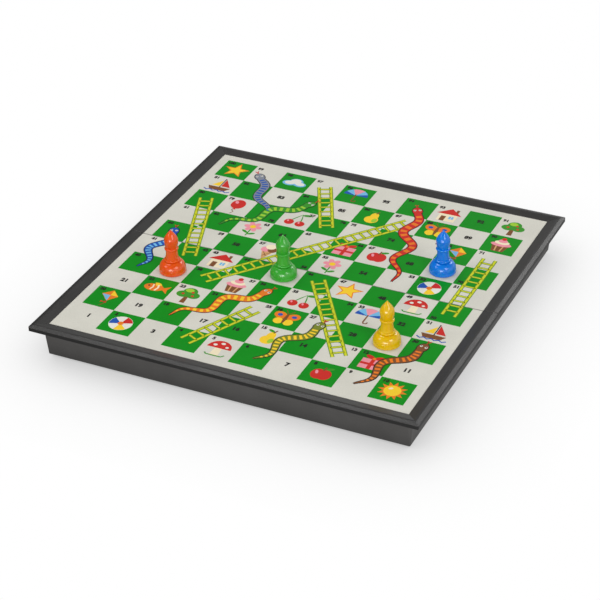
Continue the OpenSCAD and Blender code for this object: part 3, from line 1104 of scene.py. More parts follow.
class Motif(Enum):
    """Small pictures of plain things, each within one square whose middle is (0, 0)."""

    APPLE = (
        Oval(Ink.RED, -0.08, -0.05, 0.19, 0.22),
        Oval(Ink.RED, 0.08, -0.05, 0.19, 0.22),
        Oval(Ink.PINK, -0.14, 0.02, 0.04, 0.08, 20),
        Line(Ink.BROWN, 0.04, ((0.0, 0.1), (0.03, 0.27))),
        Oval(Ink.LEAF, 0.14, 0.23, 0.11, 0.05, 25),
    )
    PEAR = (
        Oval(Ink.YELLOW, 0.0, -0.13, 0.2, 0.19),
        Oval(Ink.YELLOW, 0.02, 0.07, 0.12, 0.18),
        Oval(Ink.LIME, 0.1, -0.15, 0.07, 0.11, -10),
        Line(Ink.BROWN, 0.04, ((0.03, 0.2), (0.08, 0.34))),
        Oval(Ink.LEAF, -0.06, 0.29, 0.1, 0.045, -20),
    )
    FLOWER = (
        Line(Ink.LEAF, 0.04, ((0.0, -0.4), (0.0, 0.05))),
        Oval(Ink.LEAF, 0.11, -0.26, 0.11, 0.045, 30),
        Oval(Ink.LEAF, -0.11, -0.2, 0.11, 0.045, -30),
        *(Oval(Ink.PINK, *turned((0.16, 0.1), 60 * i, (0.0, 0.1)), 0.1, 0.075, 60 * i) for i in range(6)),
        Oval(Ink.YELLOW, 0.0, 0.1, 0.085, 0.085),
    )
    SUN = (
        Burst(Ink.ORANGE, 0.0, 0.0, 0.38, 0.23, 12),
        Oval(Ink.YELLOW, 0.0, 0.0, 0.22, 0.22),
        Oval(Ink.CREAM, -0.07, 0.08, 0.06, 0.04, 40),
    )
    CLOUD = (
        Oval(Ink.SKY, -0.16, -0.06, 0.2, 0.14),
        Oval(Ink.SKY, 0.17, -0.06, 0.19, 0.13),
        Oval(Ink.SKY, 0.02, 0.04, 0.21, 0.19),
        Oval(Ink.WHITE, -0.15, -0.04, 0.15, 0.1),
        Oval(Ink.WHITE, 0.0, 0.07, 0.16, 0.14),
        Oval(Ink.WHITE, 0.17, -0.04, 0.14, 0.09),
    )
    BOAT = (
        Patch(Ink.BROWN, ((-0.34, -0.14), (0.34, -0.14), (0.22, -0.32), (-0.24, -0.32))),
        Line(Ink.DARK, 0.03, ((0.0, -0.14), (0.0, 0.36))),
        Patch(Ink.RED, ((0.03, 0.33), (0.3, -0.08), (0.03, -0.08))),
        Patch(Ink.YELLOW, ((-0.03, 0.26), (-0.26, -0.08), (-0.03, -0.08))),
        Line(Ink.BLUE, 0.04, tuple((0.1 * i - 0.4, -0.35 + 0.03 * (-1) ** i) for i in range(9))),
    )
    MUSHROOM = (
        Patch(Ink.CREAM, ((-0.09, 0.02), (0.09, 0.02), (0.12, -0.34), (-0.12, -0.34))),
        Wedge(Ink.RED, 0.0, -0.02, 0.33, 0, 180),
        Oval(Ink.WHITE, -0.15, 0.1, 0.055, 0.045),
        Oval(Ink.WHITE, 0.03, 0.2, 0.06, 0.045),
        Oval(Ink.WHITE, 0.19, 0.07, 0.045, 0.04),
        Line(Ink.LEAF, 0.04, ((-0.26, -0.3), (-0.2, -0.36), (0.22, -0.36), (0.28, -0.28))),
    )
    BALL = (
        Oval(Ink.WHITE, 0.0, 0.0, 0.32, 0.32),
        *(Wedge(ink, 0.0, 0.0, 0.31, 120 * i + 20, 120 * i + 80)
          for i, ink in enumerate((Ink.RED, Ink.BLUE, Ink.YELLOW))),
        Oval(Ink.ORANGE, 0.0, 0.0, 0.08, 0.08),
    )
    KITE = (
        Line(Ink.BROWN, 0.03, ((0.06, -0.12), (0.0, -0.2), (0.06, -0.28), (-0.02, -0.4))),
        Patch(Ink.ORANGE, ((0.02, 0.38), (0.26, 0.14), (0.06, -0.14), (-0.22, 0.14))),
        Patch(Ink.YELLOW, ((0.02, 0.37), (0.25, 0.14), (0.03, 0.14))),
        Patch(Ink.SKY, ((0.03, 0.14), (0.06, -0.13), (-0.21, 0.14))),
        Patch(Ink.RED, ((-0.08, -0.17), (-0.08, -0.25), (0.02, -0.21))),
        Patch(Ink.RED, ((0.09, -0.17), (0.09, -0.25), (-0.01, -0.21))),
    )
    UMBRELLA = (
        Wedge(Ink.BLUE, 0.0, 0.0, 0.36, 0, 180),
        Wedge(Ink.PINK, 0.0, 0.0, 0.355, 60, 120),
        Wedge(Ink.SKY, 0.0, 0.0, 0.35, 119, 155),
        Wedge(Ink.SKY, 0.0, 0.0, 0.35, 25, 61),
        Line(Ink.BROWN, 0.04, ((0.0, 0.05), (0.0, -0.3), (0.03, -0.36), (0.1, -0.35), (0.12, -0.28))),
    )
    GIFT = (
        Patch(Ink.PINK, ((-0.28, -0.32), (0.28, -0.32), (0.28, 0.12), (-0.28, 0.12))),
        Line(Ink.RED, 0.1, ((0.0, -0.32), (0.0, 0.12))),
        Line(Ink.RED, 0.09, ((-0.28, -0.1), (0.28, -0.1))),
        Oval(Ink.RED, -0.12, 0.2, 0.13, 0.07, -25),
        Oval(Ink.RED, 0.12, 0.2, 0.13, 0.07, 25),
        Oval(Ink.ORANGE, 0.0, 0.15, 0.05, 0.05),
    )
    BUTTERFLY = (
        Oval(Ink.ORANGE, -0.18, 0.12, 0.19, 0.15, -30),
        Oval(Ink.ORANGE, 0.18, 0.12, 0.19, 0.15, 30),
        Oval(Ink.YELLOW, -0.14, -0.15, 0.13, 0.14, 20),
        Oval(Ink.YELLOW, 0.14, -0.15, 0.13, 0.14, -20),
        Oval(Ink.BLUE, -0.2, 0.13, 0.07, 0.06),
        Oval(Ink.BLUE, 0.2, 0.13, 0.07, 0.06),
        Oval(Ink.BROWN, 0.0, 0.0, 0.045, 0.24),
        Line(Ink.BROWN, 0.025, ((-0.12, 0.38), (0.0, 0.2), (0.12, 0.38))),
    )
    CHERRIES = (
        Line(Ink.LEAF, 0.035, ((-0.15, -0.1), (-0.04, 0.12), (0.06, 0.3), (0.12, 0.1), (0.16, -0.12))),
        Oval(Ink.RED, -0.16, -0.18, 0.14, 0.14),
        Oval(Ink.RED, 0.17, -0.2, 0.14, 0.14),
        Oval(Ink.PINK, -0.21, -0.13, 0.03, 0.05, 20),
        Oval(Ink.PINK, 0.12, -0.15, 0.03, 0.05, 20),
        Oval(Ink.LEAF, 0.2, 0.29, 0.13, 0.055, 10),
    )
    HOUSE = (
        Patch(Ink.CREAM, ((-0.26, -0.34), (0.26, -0.34), (0.26, 0.06), (-0.26, 0.06))),
        Patch(Ink.BROWN, ((0.14, 0.12), (0.22, 0.12), (0.22, 0.34), (0.14, 0.34))),
        Patch(Ink.RED, ((-0.36, 0.04), (0.36, 0.04), (0.0, 0.36))),
        Patch(Ink.BROWN, ((-0.18, -0.34), (-0.04, -0.34), (-0.04, -0.08), (-0.18, -0.08))),
        Patch(Ink.SKY, ((0.05, -0.2), (0.19, -0.2), (0.19, -0.06), (0.05, -0.06))),
        Line(Ink.WHITE, 0.02, ((0.12, -0.2), (0.12, -0.06))),
    )
    TREE = (
        Patch(Ink.BROWN, ((-0.07, -0.38), (0.08, -0.38), (0.05, -0.02), (-0.05, -0.02))),
        Oval(Ink.LEAF, -0.14, 0.02, 0.19, 0.15),
        Oval(Ink.LEAF, 0.15, 0.03, 0.18, 0.15),
        Oval(Ink.LEAF, 0.0, 0.18, 0.2, 0.18),
        Oval(Ink.LIME, -0.04, 0.23, 0.12, 0.09),
        Oval(Ink.RED, -0.15, 0.03, 0.04, 0.04),
        Oval(Ink.RED, 0.14, 0.0, 0.04, 0.04),
        Oval(Ink.RED, 0.08, 0.16, 0.04, 0.04),
    )
    FISH = (
        Patch(Ink.ORANGE, ((0.14, 0.0), (0.38, 0.18), (0.33, 0.0), (0.38, -0.18))),
        Oval(Ink.ORANGE, -0.06, 0.0, 0.28, 0.17),
        Wedge(Ink.YELLOW, -0.04, 0.08, 0.16, 20, 120),
        Line(Ink.CREAM, 0.05, ((0.02, -0.14), (0.06, 0.0), (0.02, 0.14))),
        Line(Ink.CREAM, 0.04, ((-0.12, -0.13), (-0.09, 0.0), (-0.12, 0.13))),
        Oval(Ink.DARK, -0.22, 0.04, 0.03, 0.03),
    )
    BALLOON = (
        Line(Ink.BROWN, 0.025, ((0.02, -0.12), (-0.04, -0.22), (0.05, -0.3), (0.0, -0.42))),
        Patch(Ink.RED, ((0.0, -0.1), (0.07, -0.18), (-0.05, -0.18))),
        Oval(Ink.RED, 0.01, 0.12, 0.21, 0.25),
        Oval(Ink.PINK, -0.07, 0.21, 0.05, 0.08, 30),
    )
    CUPCAKE = (
        Patch(Ink.BROWN, ((-0.24, -0.02), (0.24, -0.02), (0.16, -0.36), (-0.16, -0.36))),
        Line(Ink.TAN, 0.04, ((-0.1, -0.04), (-0.07, -0.34))),
        Line(Ink.TAN, 0.04, ((0.1, -0.04), (0.07, -0.34))),
        Oval(Ink.PINK, 0.0, 0.02, 0.29, 0.11),
        Oval(Ink.CREAM, 0.0, 0.12, 0.21, 0.1),
        Oval(Ink.PINK, 0.0, 0.2, 0.13, 0.09),
        Oval(Ink.RED, 0.0, 0.31, 0.07, 0.07),
    )
    ICE_CREAM = (
        Patch(Ink.TAN, ((-0.17, 0.02), (0.17, 0.02), (0.0, -0.42))),
        Line(Ink.BROWN, 0.02, ((-0.11, -0.02), (0.06, -0.24))),
        Line(Ink.BROWN, 0.02, ((0.11, -0.02), (-0.06, -0.24))),
        Oval(Ink.PINK, -0.09, 0.1, 0.14, 0.13),
        Oval(Ink.BROWN, 0.1, 0.11, 0.13, 0.13),
        Oval(Ink.CREAM, 0.0, 0.25, 0.14, 0.13),
    )
    STAR = (
        Burst(Ink.ORANGE, 0.0, -0.01, 0.4, 0.17, 5),
        Burst(Ink.YELLOW, 0.0, -0.01, 0.32, 0.135, 5),
    )


@dataclass(frozen=True)
class Motifs:
    """The small pictures that stand in some of the squares."""

    board: Board
    first_level: float = 2.0
    level_step: float = 0.5
    scale: float = 1.06
    places: tuple[tuple[int, int, Motif], ...] = (
        (1, 0, Motif.BALL), (4, 0, Motif.MUSHROOM), (7, 0, Motif.APPLE), (9, 0, Motif.SUN),
        (0, 1, Motif.KITE), (5, 1, Motif.PEAR), (8, 1, Motif.GIFT),
        (1, 2, Motif.FISH), (2, 2, Motif.TREE), (5, 2, Motif.BUTTERFLY),
        (3, 3, Motif.CUPCAKE), (5, 3, Motif.CHERRIES), (7, 3, Motif.UMBRELLA), (9, 3, Motif.BOAT),
        (2, 4, Motif.HOUSE), (6, 4, Motif.STAR), (8, 4, Motif.MUSHROOM),
        (3, 5, Motif.ICE_CREAM), (5, 5, Motif.FLOWER), (8, 5, Motif.BALL),
        (2, 6, Motif.FLOWER), (5, 6, Motif.GIFT), (6, 6, Motif.APPLE),
        (1, 7, Motif.BALLOON), (3, 7, Motif.CHERRIES), (8, 7, Motif.KITE),
        (0, 8, Motif.BOAT), (5, 8, Motif.PEAR), (7, 8, Motif.BUTTERFLY), (9, 8, Motif.CUPCAKE),
        (0, 9, Motif.STAR), (2, 9, Motif.CLOUD), (4, 9, Motif.UMBRELLA), (7, 9, Motif.HOUSE),
        (9, 9, Motif.TREE),
    )

    def taken(self) -> set[tuple[int, int]]:
        """Squares that hold a picture."""
        return {(column, row) for column, row, _ in self.places}

    def build(self, material: Material) -> None:
        """Prints the pictures, each shape of a picture one level over the last."""
        plates = InkPlates(self.board, "pictures")
        for column, row, motif in self.places:
            for number, drawn in enumerate(motif.value):
                outline = [
                    (column + 0.5 + self.scale * x, row + 0.5 + self.scale * y) for x, y in drawn.outline()
                ]
                plates.plate(outline, drawn.ink, self.first_level + self.level_step * number)
        plates.lay(material)


# Parts of a snake's head that looks along +X
TONGUE = (
    Line(Ink.RED, 0.03, ((0.2, 0.0), (0.34, 0.0), (0.42, 0.05))),
    Line(Ink.RED, 0.03, ((0.32, 0.0), (0.42, -0.05))),
)
EYES = tuple(Oval(Ink.WHITE, 0.11, y, 0.045, 0.04) for y in (-0.075, 0.075))
PUPILS = tuple(Oval(Ink.DARK, 0.12, y, 0.022, 0.022) for y in (-0.075, 0.075))


@dataclass(frozen=True)
class Snake:
    """One printed snake: a winding band that tapers to its tail."""

    head: Point
    tail: Point
    back: Ink
    bands: Ink
    waves: float = 1.5
    swing: float = 0.2
    swing_curve: float = 0.5
    width: float = 0.26
    steps: int = 72
    head_steps: int = 2
    bands_count: int = 18
    band_share: float = 0.72
    edge_w: float = 0.05
    # Share of the full width at the head, and share of the length at which the body is full
    neck: Point = (0.7, 0.2)
    taper: float = 2.4
    tail_w: float = 0.02
    head_x: float = 0.06
    head_size: Point = (0.2, 0.145)
    tongue_level: float = 0.3
    back_level: float = 1.0
    head_level: float = 1.4
    band_level: float = 2.0
    eye_level: float = 2.0
    pupil_level: float = 2.5

    def path(self) -> list[Point]:
        """Points along the snake's middle, from head to tail."""
        start = Vector(self.head)
        way = Vector(self.tail) - start
        aside = Vector((-way.y, way.x)).normalized()
        points = []
        for i in range(self.steps + 1):
            t = i / self.steps
            calm = math.sin(math.pi * t) ** self.swing_curve
            point = start + way * t + aside * self.swing * calm * math.sin(2 * math.pi * self.waves * t)
            points.append((point.x, point.y))
        return points

    def widths(self, extra: float) -> list[float]:
        """Width at each point: a slim neck, a full body and a pointed tail.

        Args:
            extra: Added width, for the dark edge.

        Returns:
            One width for each point of the path.
        """
        slim, full_at = self.neck
        widths = []
        for i in range(self.steps + 1):
            t = i / self.steps
            body = self.width * (slim + (1 - slim) * min(1.0, t / full_at)) * (1 - t ** self.taper)
            widths.append(body + self.tail_w + extra)
        return widths

    def skull(self, ink: Ink, extra: float) -> Oval:
        """The head's oval, with the snake looking along +X."""
        length, width = self.head_size
        return Oval(ink, self.head_x, 0.0, length + extra, width + extra)

    def draw(self, plates: InkPlates, level: float) -> None:
        """Adds the snake's plates: edge, body, bands, head, eyes and tongue.

        Args:
            plates: Where the plates go.
            level: Level of ink of the lowest one.
        """
        path = self.path()
        ahead = Vector(path[0]) - Vector(path[self.head_steps])
        heading = math.degrees(math.atan2(ahead.y, ahead.x))

        def on_head(drawn: Drawn, over: float) -> None:
            """Adds a shape that is drawn with the snake heading along +X."""
            outline = [turned((path[0][0] + x, path[0][1] + y), heading, path[0]) for x, y in drawn.outline()]
            plates.plate(outline, drawn.ink, level + over)

        for drawn in TONGUE:
            on_head(drawn, self.tongue_level)
        plates.plate(ribbon(path, self.widths(self.edge_w)), Ink.DARK, level)
        on_head(self.skull(Ink.DARK, self.edge_w / 2), 0.0)
        plates.plate(ribbon(path, self.widths(0.0)), self.back, level + self.back_level)
        on_head(self.skull(self.back, 0.0), self.head_level)
        inner = [self.band_share * width for width in self.widths(0.0)]
        length = self.steps // self.bands_count
        for i in range(1, self.bands_count - 1):
            part = slice(i * length, (i + 1) * length - 1)
            plates.plate(ribbon(path[part], inner[part]), self.bands, level + self.band_level)
        for drawn in EYES:
            on_head(drawn, self.eye_level)
        for drawn in PUPILS:
            on_head(drawn, self.pupil_level)


@dataclass(frozen=True)
class Snakes:
    """All printed snakes."""

    board: Board
    level: float = 7.0
    level_step: float = 0.1
    snakes: tuple[Snake, ...] = (
        Snake((1.4, 9.35), (2.55, 7.3), Ink.GREY, Ink.BLUE, 1.5, 0.16),
        Snake((6.6, 9.3), (7.4, 5.4), Ink.RED, Ink.ORANGE, 2.5, 0.22),
        Snake((3.45, 8.4), (1.5, 6.35), Ink.LEAF, Ink.LIME, 2.0, 0.2),
        Snake((0.5, 5.4), (0.45, 3.3), Ink.BLUE, Ink.SKY, 1.5, 0.2),
        Snake((4.4, 3.45), (2.5, 1.4), Ink.ORANGE, Ink.YELLOW, 2.0, 0.22),
        Snake((6.5, 2.45), (5.55, 0.4), Ink.OLIVE, Ink.YELLOW, 1.5, 0.2),
        Snake((9.45, 2.6), (8.45, 0.4), Ink.BROWN, Ink.ORANGE, 1.5, 0.2),
    )

    def trails(self) -> list[Trail]:
        """Bands that the snakes cover."""
        return [Trail(snake.path(), (snake.width + snake.edge_w) / 2) for snake in self.snakes]

    def build(self, material: Material) -> None:
        """Prints the snakes over everything else."""
        plates = InkPlates(self.board, "snakes")
        for number, snake in enumerate(self.snakes):
            snake.draw(plates, self.level + self.level_step * number)
        plates.lay(material)


@dataclass(frozen=True)
class Numbers:
    """The squares' numbers: in the middle of a plain square, else in a corner that is free."""

    board: Board
    pictured: set[tuple[int, int]]
    trails: list[Trail]
    size: float = 0.22
    corner_size: float = 0.17
    weight: float = 0.055
    curve_steps: int = 3
    corners: tuple[Point, ...] = ((-0.33, 0.36), (0.33, 0.36), (-0.33, -0.36), (0.33, -0.36))
    room: float = 0.17
    corner_room: float = 0.12
    level: float = 6.0

    def spot(self, column: int, row: int) -> tuple[Point, float]:
        """Where a square's number goes.

        Args:
            column: Column of the square.
            row: Row of the square.

        Returns:
            The number's middle, in squares from the front left corner, and its size, in squares.
        """
        middle = (column + 0.5, row + 0.5)
        if (column, row) not in self.pictured and self.clear(middle) > self.room:
            return middle, self.size
        corners = [(middle[0] + x, middle[1] + y) for x, y in self.corners]
        free = [corner for corner in corners if self.clear(corner) > self.corner_room]
        return (free or [max(corners, key=self.clear)])[0], self.corner_size

    def clear(self, point: Point) -> float:
        """Distance from a point to the nearest ladder or snake."""
        return min(trail.room(point) for trail in self.trails)

    def build(self, material: Material) -> None:
        """Prints the numbers on both halves."""
        plates = InkPlates(self.board, "numbers")
        for row in range(self.board.squares):
            for column in range(self.board.squares):
                plates.add_mesh(self.label(column, row))
        bmesh.ops.remove_doubles(plates.shape, verts=plates.shape.verts[:], dist=WELD)
        plates.lay(material)

    def label(self, column: int, row: int) -> Mesh:
        """Sets one square's number.

        Args:
            column: Column of the square.
            row: Row of the square.

        Returns:
            The number as a mesh, in place.
        """
        spot, size = self.spot(column, row)
        low = self.board.ink_low
        high = self.board.height(self.level)
        letters = bpy.data.curves.new("number", "FONT")
        letters.body = str(self.board.number(column, row))
        letters.size = size * self.board.cell
        letters.align_x = "CENTER"
        letters.align_y = "CENTER"
        letters.resolution_u = self.curve_steps
        letters.extrude = (high - low) / 2
        letters.offset = self.weight * letters.size
        mesh = plain_mesh(bpy.data.objects.new("number", letters))
        bpy.data.curves.remove(letters)
        mesh.transform(Matrix.Translation((*self.board.at(spot), (low + high) / 2)))
        return mesh


@dataclass(frozen=True)
class Pawn:
    """Turned pawn with a hollow foot for its magnet and cap."""

    name: str
    foot_r: float = 8.4 * MM
    foot_bevel: float = 0.6 * MM
    edge_h: float = 1.8 * MM
    dome_h: float = 5.8 * MM
    waist_r: float = 4.2 * MM
    waist_bead_r: float = 0.8 * MM
    neck_h: float = 6.2 * MM
    neck_r: float = 3.6 * MM
    collar_bead_r: float = 0.8 * MM
    head_r: float = 4.4 * MM
    head_low_h: float = 5.2 * MM
    head_top_h: float = 6.8 * MM
    tip_curve: float = 1.5
    tip_r: float = 0.5 * MM
    magnet_r: float = 4.7 * MM
    hollow_h: float = 3.5 * MM
    cap_r: float = 6.45 * MM
    cap_t: float = 0.8 * MM
    steps: int = 16
    turns: int = 72
    crease: float = 40.0

    def arc(self, x: float, z: float, rx: float, rz: float, start: float, end: float) -> list[Point]:
        """Points along an arc of an ellipse, from one angle to another."""
        angles = [math.radians(start + (end - start) * i / self.steps) for i in range(self.steps + 1)]
        return [(x + rx * math.cos(a), z + rz * math.sin(a)) for a in angles]

    def outline(self) -> list[Point]:
        """Radius and height of the pawn's skin, from the top of its hollow round the foot to the tip."""
        bead_z = self.edge_h + self.dome_h + self.waist_bead_r
        neck_z = bead_z + self.waist_bead_r
        collar_z = neck_z + self.neck_h + self.collar_bead_r
        wide_z = collar_z + self.collar_bead_r + self.head_low_h
        shares = [i / self.steps for i in range(self.steps + 1)]
        head_side = math.acos(self.neck_r / self.head_r)
        head_low = self.head_low_h / math.sin(head_side)
        hollow = [
            (0.0, self.hollow_h), (self.magnet_r, self.hollow_h), (self.magnet_r, self.cap_t),
            (self.cap_r, self.cap_t), (self.cap_r, 0.0),
        ]
        bevel = self.foot_bevel
        foot = self.arc(self.foot_r - bevel, bevel, bevel, bevel, -90, 0)
        dome = self.arc(self.waist_r, self.edge_h, self.foot_r - self.waist_r, self.dome_h, 0, 90)
        bead = self.arc(self.waist_r, bead_z, self.waist_bead_r, self.waist_bead_r, -90, 90)
        flare = self.waist_r - self.neck_r
        neck = [(self.neck_r + flare * (1 - t) ** 2, neck_z + t * self.neck_h) for t in shares]
        collar = self.arc(self.neck_r, collar_z, self.collar_bead_r, self.collar_bead_r, -90, 90)
        cheek = self.arc(0.0, wide_z, self.head_r, head_low, -math.degrees(head_side), 0)
        peak = [
            (
                self.tip_r + (self.head_r - self.tip_r) * (1 - t ** self.tip_curve),
                wide_z + t * (self.head_top_h - self.tip_r),
            )
            for t in shares[1:]
        ]
        tip = self.arc(0.0, wide_z + self.head_top_h - self.tip_r, self.tip_r, self.tip_r, 0, 90)
        return hollow + foot + dome + bead + neck + collar + cheek + peak + tip

    def build(self, material: Material) -> None:
        """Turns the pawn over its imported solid, which it stands for."""
        low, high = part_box(self.name)
        middle = (low + high) / 2
        shape = bmesh.new()
        angles = [2 * math.pi * i / self.turns for i in range(self.turns)]
        rings = []
        for r, z in self.outline():
            places = [(middle.x + r * math.cos(a), middle.y + r * math.sin(a), low.z + z) for a in angles]
            rings.append([shape.verts.new(place) for place in places])
        for below, above in zip(rings, rings[1:]):
            for i in range(self.turns):
                shape.faces.new((below[i - 1], below[i], above[i], above[i - 1]))
        bmesh.ops.remove_doubles(shape, verts=shape.verts[:], dist=WELD)
        bmesh.ops.recalc_face_normals(shape, faces=shape.faces[:])
        piece = new_piece(f"{self.name}_turned", shape, material)
        piece.data.shade_smooth()
        piece.data.set_sharp_from_angle(angle=math.radians(self.crease))
        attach(piece, self.name)
        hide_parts(self.name)
        LOG.info("%s: %d faces", piece.name, len(piece.data.polygons))


@dataclass(frozen=True)
class PawnColours:
    """Colours of one pawn: its plastic, the deeper tone in its flow clouds, and its cap."""

    word: str
    plastic: Colour
    depth: Colour
    cap: Colour


@dataclass(frozen=True)
class PawnSet:
    """The four pawns with their caps and magnets."""

    colours: tuple[PawnColours, ...] = (
        PawnColours("red", linear(236, 93, 18), linear(222, 54, 20), linear(176, 58, 32)),
        PawnColours("green", linear(64, 175, 54), linear(34, 148, 42), linear(36, 122, 40)),
        PawnColours("blue", linear(0, 127, 230), linear(4, 98, 214), linear(10, 84, 166)),
        PawnColours("yellow", linear(228, 189, 0), linear(234, 168, 0), linear(198, 150, 18)),
    )

    def build(self, nodes: Nodes) -> None:
        """Turns the pawns and dresses their caps and magnets."""
        magnet = Ferrite().material()
        for colours in self.colours:
            name = f"{colours.word}_pawn"
            low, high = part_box(name)
            middle = (low + high) / 2
            plastic = PawnPlastic(f"{colours.word}_plastic", colours.plastic, colours.depth)
            cap = CapPlastic(f"{colours.word}_cap", colours.cap, (middle.x, middle.y, 0.0))
            Pawn(name).build(plastic.material())
            dress(nodes[f"{name}_cap"], cap.material())
            dress(nodes[f"{name}_magnet"], magnet)


def dress(node: Piece, material: Material) -> None:
    """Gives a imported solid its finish."""
    node.data.materials.clear()
    node.data.materials.append(material)
    LOG.info("%s: %s", node.name, material.name)


@dataclass(frozen=True)
class HalfCases:
    """The two moulded half cases with their sheets and hinge pins."""

    tin_bright: Colour = linear(206, 206, 204)
    tin_dull: Colour = linear(178, 178, 178)
    steel_bright: Colour = linear(204, 204, 206)
    steel_dull: Colour = linear(160, 160, 164)
    tin_gloss: Point = (0.24, 0.42)
    steel_gloss: Point = (0.18, 0.36)
    paper: Colour = linear(216, 214, 203)

    def build(self, nodes: Nodes) -> None:
        """Dresses both halves."""
        plastic = CasePlastic(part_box("front_case")[1].z).material()
        tin = Metal("tinplate", self.tin_bright, self.tin_dull, self.tin_gloss).material()
        steel = Metal("pin_steel", self.steel_bright, self.steel_dull, self.steel_gloss).material()
        paper = LaminatedInk("laminated_paper", self.paper).material()
        for half in Half:
            dress(nodes[f"{half.word}_case"], plastic)
            dress(nodes[f"{half.word}_steel_sheet"], tin)
            dress(nodes[f"{half.word}_print_sheet"], paper)
        for side in ("left", "right"):
            dress(nodes[f"{side}_hinge_pin"], steel)


@dataclass(frozen=True)
class Artwork:
    """All that is printed on the board."""

    board: Board = Board()
    ladder_edge: Colour = linear(96, 138, 34)
    ladder_fill: Colour = linear(208, 212, 42)

    def build(self) -> None:
        """Prints the layers from the lowest up."""
        motifs = Motifs(self.board)
        ladders = Ladders(self.board)
        snakes = Snakes(self.board)
        mixed = LaminatedInk("mixed_inks").material()
        dark = LaminatedInk("dark_ink", Ink.DARK.light).material()
        GreenSquares(self.board).build(LaminatedInk("green_ink", Ink.GREEN.light).material())
        motifs.build(mixed)
        ladders.build(
            LaminatedInk("ladder_edge_ink", self.ladder_edge).material(),
            LaminatedInk("ladder_ink", self.ladder_fill).material(),
        )
        Numbers(self.board, motifs.taken(), ladders.trails() + snakes.trails()).build(dark)
        snakes.build(mixed)


@dataclass(frozen=True)
class Die:
    """The loose die."""

    trim_over: float = 2.6 * MM

    def build(self, nodes: Nodes) -> None:
        """Dresses the die with painted pips."""
        low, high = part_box("die")
        half = (high.z - low.z) / 2
        dress(nodes["die"], DiePlastic((low + high) / 2, half, half + self.trim_over).material())


@dataclass(frozen=True)
class Softbox:
    """One large soft lamp that looks at the board."""

    name: str
    place: Place
    width: float
    height: float
    power: float

    def build(self) -> None:
        """Hangs the lamp."""
        lamp = bpy.data.lights.new(self.name, "AREA")
        lamp.shape = "RECTANGLE"
        lamp.size = self.width
        lamp.size_y = self.height
        lamp.energy = self.power
        light = bpy.data.objects.new(self.name, lamp)
        bpy.context.scene.collection.objects.link(light)
        light.location = self.place
        light.rotation_euler = (-Vector(self.place)).to_track_quat("-Z", "Y").to_euler()


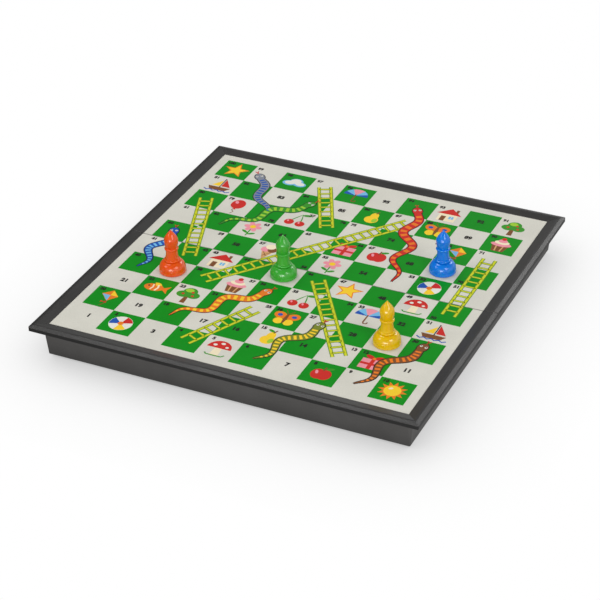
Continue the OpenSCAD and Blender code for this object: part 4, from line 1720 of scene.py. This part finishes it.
@dataclass(frozen=True)
class Studio:
    """Clear floor, soft lamps, pale surroundings and the camera at the photograph's angle."""

    azimuth: float = 25.47
    elevation: float = 31.42
    distance: float = 1.2454
    roll: float = -1.2
    aim: Point = (10.2 * MM, -32.5 * MM)
    lens: float = 120.9
    floor_half: float = 6.0
    shade_reach: float = 80 * MM
    shade: float = 0.55
    shade_samples: int = 16
    surround: float = 0.42
    # Brightness of the ceiling, the left side and the ground in reflections, and where each of them sets in
    ceiling: float = 0.1
    ceiling_band: Point = (0.1, 0.8)
    left_side: float = 0.12
    left_band: Point = (-0.62, -0.25)
    ground: float = 0.4
    ground_band: Point = (-0.1, 0.1)
    softboxes: tuple[Softbox, ...] = (
        Softbox("left_softbox", (-0.9, -0.76, 0.92), 0.5, 0.5, 2.5),
        Softbox("right_softbox", (1.07, -0.57, 0.88), 0.5, 0.5, 5.0),
        Softbox("front_softbox", (0.3, -1.5, 0.34), 0.9, 0.3, 8.0),
        Softbox("back_softbox", (0.35, 1.05, 0.75), 0.5, 0.4, 3.2),
        Softbox("top_softbox", (-0.42, 0.2, 1.05), 0.4, 0.4, 2.6),
    )

    def build(self, print_z: float) -> None:
        """Sets up everything round the board.

        Args:
            print_z: Height of the playing surface, which the camera looks at.
        """
        bpy.context.scene.view_settings.view_transform = "Standard"
        self.lay_floor()
        self.light_surroundings()
        for softbox in self.softboxes:
            softbox.build()
        self.set_camera(print_z)

    def lay_floor(self) -> None:
        """Lays a clear floor that only takes shade near the board, so that it hides no folded half."""
        shape = bmesh.new()
        bmesh.ops.create_grid(shape, x_segments=1, y_segments=1, size=self.floor_half)
        material = bpy.data.materials.new("floor")
        material.use_nodes = True
        material.node_tree.nodes.clear()
        graph = Graph(material.node_tree)
        open_sky = graph.node(
            "ShaderNodeAmbientOcclusion", {"Distance": self.shade_reach}, samples=self.shade_samples
        ).outputs["AO"]
        shade = graph.calculate("MULTIPLY", graph.calculate("SUBTRACT", 1.0, open_sky), self.shade)
        seen = graph.calculate("MULTIPLY", shade, graph.node("ShaderNodeLightPath").outputs["Is Camera Ray"])
        tone = graph.grey(graph.calculate("SUBTRACT", 1.0, seen))
        clear = graph.node("ShaderNodeBsdfTransparent", {"Color": tone}).outputs[0]
        graph.node("ShaderNodeOutputMaterial", {"Surface": clear})
        new_piece("floor", shape, material)

    def light_surroundings(self) -> None:
        """Makes the surroundings white to look at, darker on some sides in reflections, grey as a light."""
        world = bpy.data.worlds.new("surroundings")
        bpy.context.scene.world = world
        world.use_nodes = True
        world.node_tree.nodes.clear()
        graph = Graph(world.node_tree)
        path = graph.node("ShaderNodeLightPath").outputs
        way = graph.node("ShaderNodeSeparateXYZ", {0: graph.node("ShaderNodeTexCoord").outputs["Generated"]})
        upward = graph.spread(way.outputs["Z"], 1.0, self.ceiling, *self.ceiling_band, smooth=True)
        sideways = graph.spread(way.outputs["X"], self.left_side, 1.0, *self.left_band, smooth=True)
        downward = graph.spread(way.outputs["Z"], self.ground, 1.0, *self.ground_band, smooth=True)
        mirrored = graph.calculate("MULTIPLY", graph.calculate("MULTIPLY", upward, sideways), downward)
        direct = graph.calculate("MAXIMUM", path["Is Camera Ray"], path["Is Transmission Ray"])
        bright = graph.calculate("MAXIMUM", mirrored, direct)
        seen = graph.calculate("MAXIMUM", direct, path["Is Glossy Ray"])
        white = (*WHITE_LIGHT, 1.0)
        lit = graph.node("ShaderNodeBackground", {"Color": white, "Strength": self.surround}).outputs[0]
        shown = graph.node("ShaderNodeBackground", {"Color": white, "Strength": bright}).outputs[0]
        mix = graph.node("ShaderNodeMixShader", {0: seen, 1: lit, 2: shown})
        graph.node("ShaderNodeOutputWorld", {0: mix.outputs[0]})

    def set_camera(self, print_z: float) -> None:
        """Sets the camera where the photograph was taken from, with its slight roll."""
        lens = bpy.data.cameras.new("camera")
        lens.lens = self.lens
        camera = bpy.data.objects.new("camera", lens)
        bpy.context.scene.collection.objects.link(camera)
        around = math.radians(self.azimuth)
        up = math.radians(self.elevation)
        way = Vector((math.sin(around) * math.cos(up), -math.cos(around) * math.cos(up), math.sin(up)))
        camera.location = Vector((0.0, 0.0, print_z)) + self.distance * way
        aim = Vector((*self.aim, print_z))
        level = (aim - camera.location).to_track_quat("-Z", "Y").to_matrix()
        camera.rotation_euler = (level @ Matrix.Rotation(math.radians(self.roll), 3, "Z")).to_euler()
        bpy.context.scene.camera = camera


def main() -> None:
    """Builds the looks in order."""
    logging.basicConfig(level=logging.INFO, format="%(message)s")
    for start in list(bpy.data.objects):
        bpy.data.objects.remove(start)
    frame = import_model()
    nodes = frame["nodes"]
    HalfCases().build(nodes)
    Artwork().build()
    PawnSet().build(nodes)
    Die().build(nodes)
    Studio().build(Board().print_z)


if __name__ == "__main__":
    main()
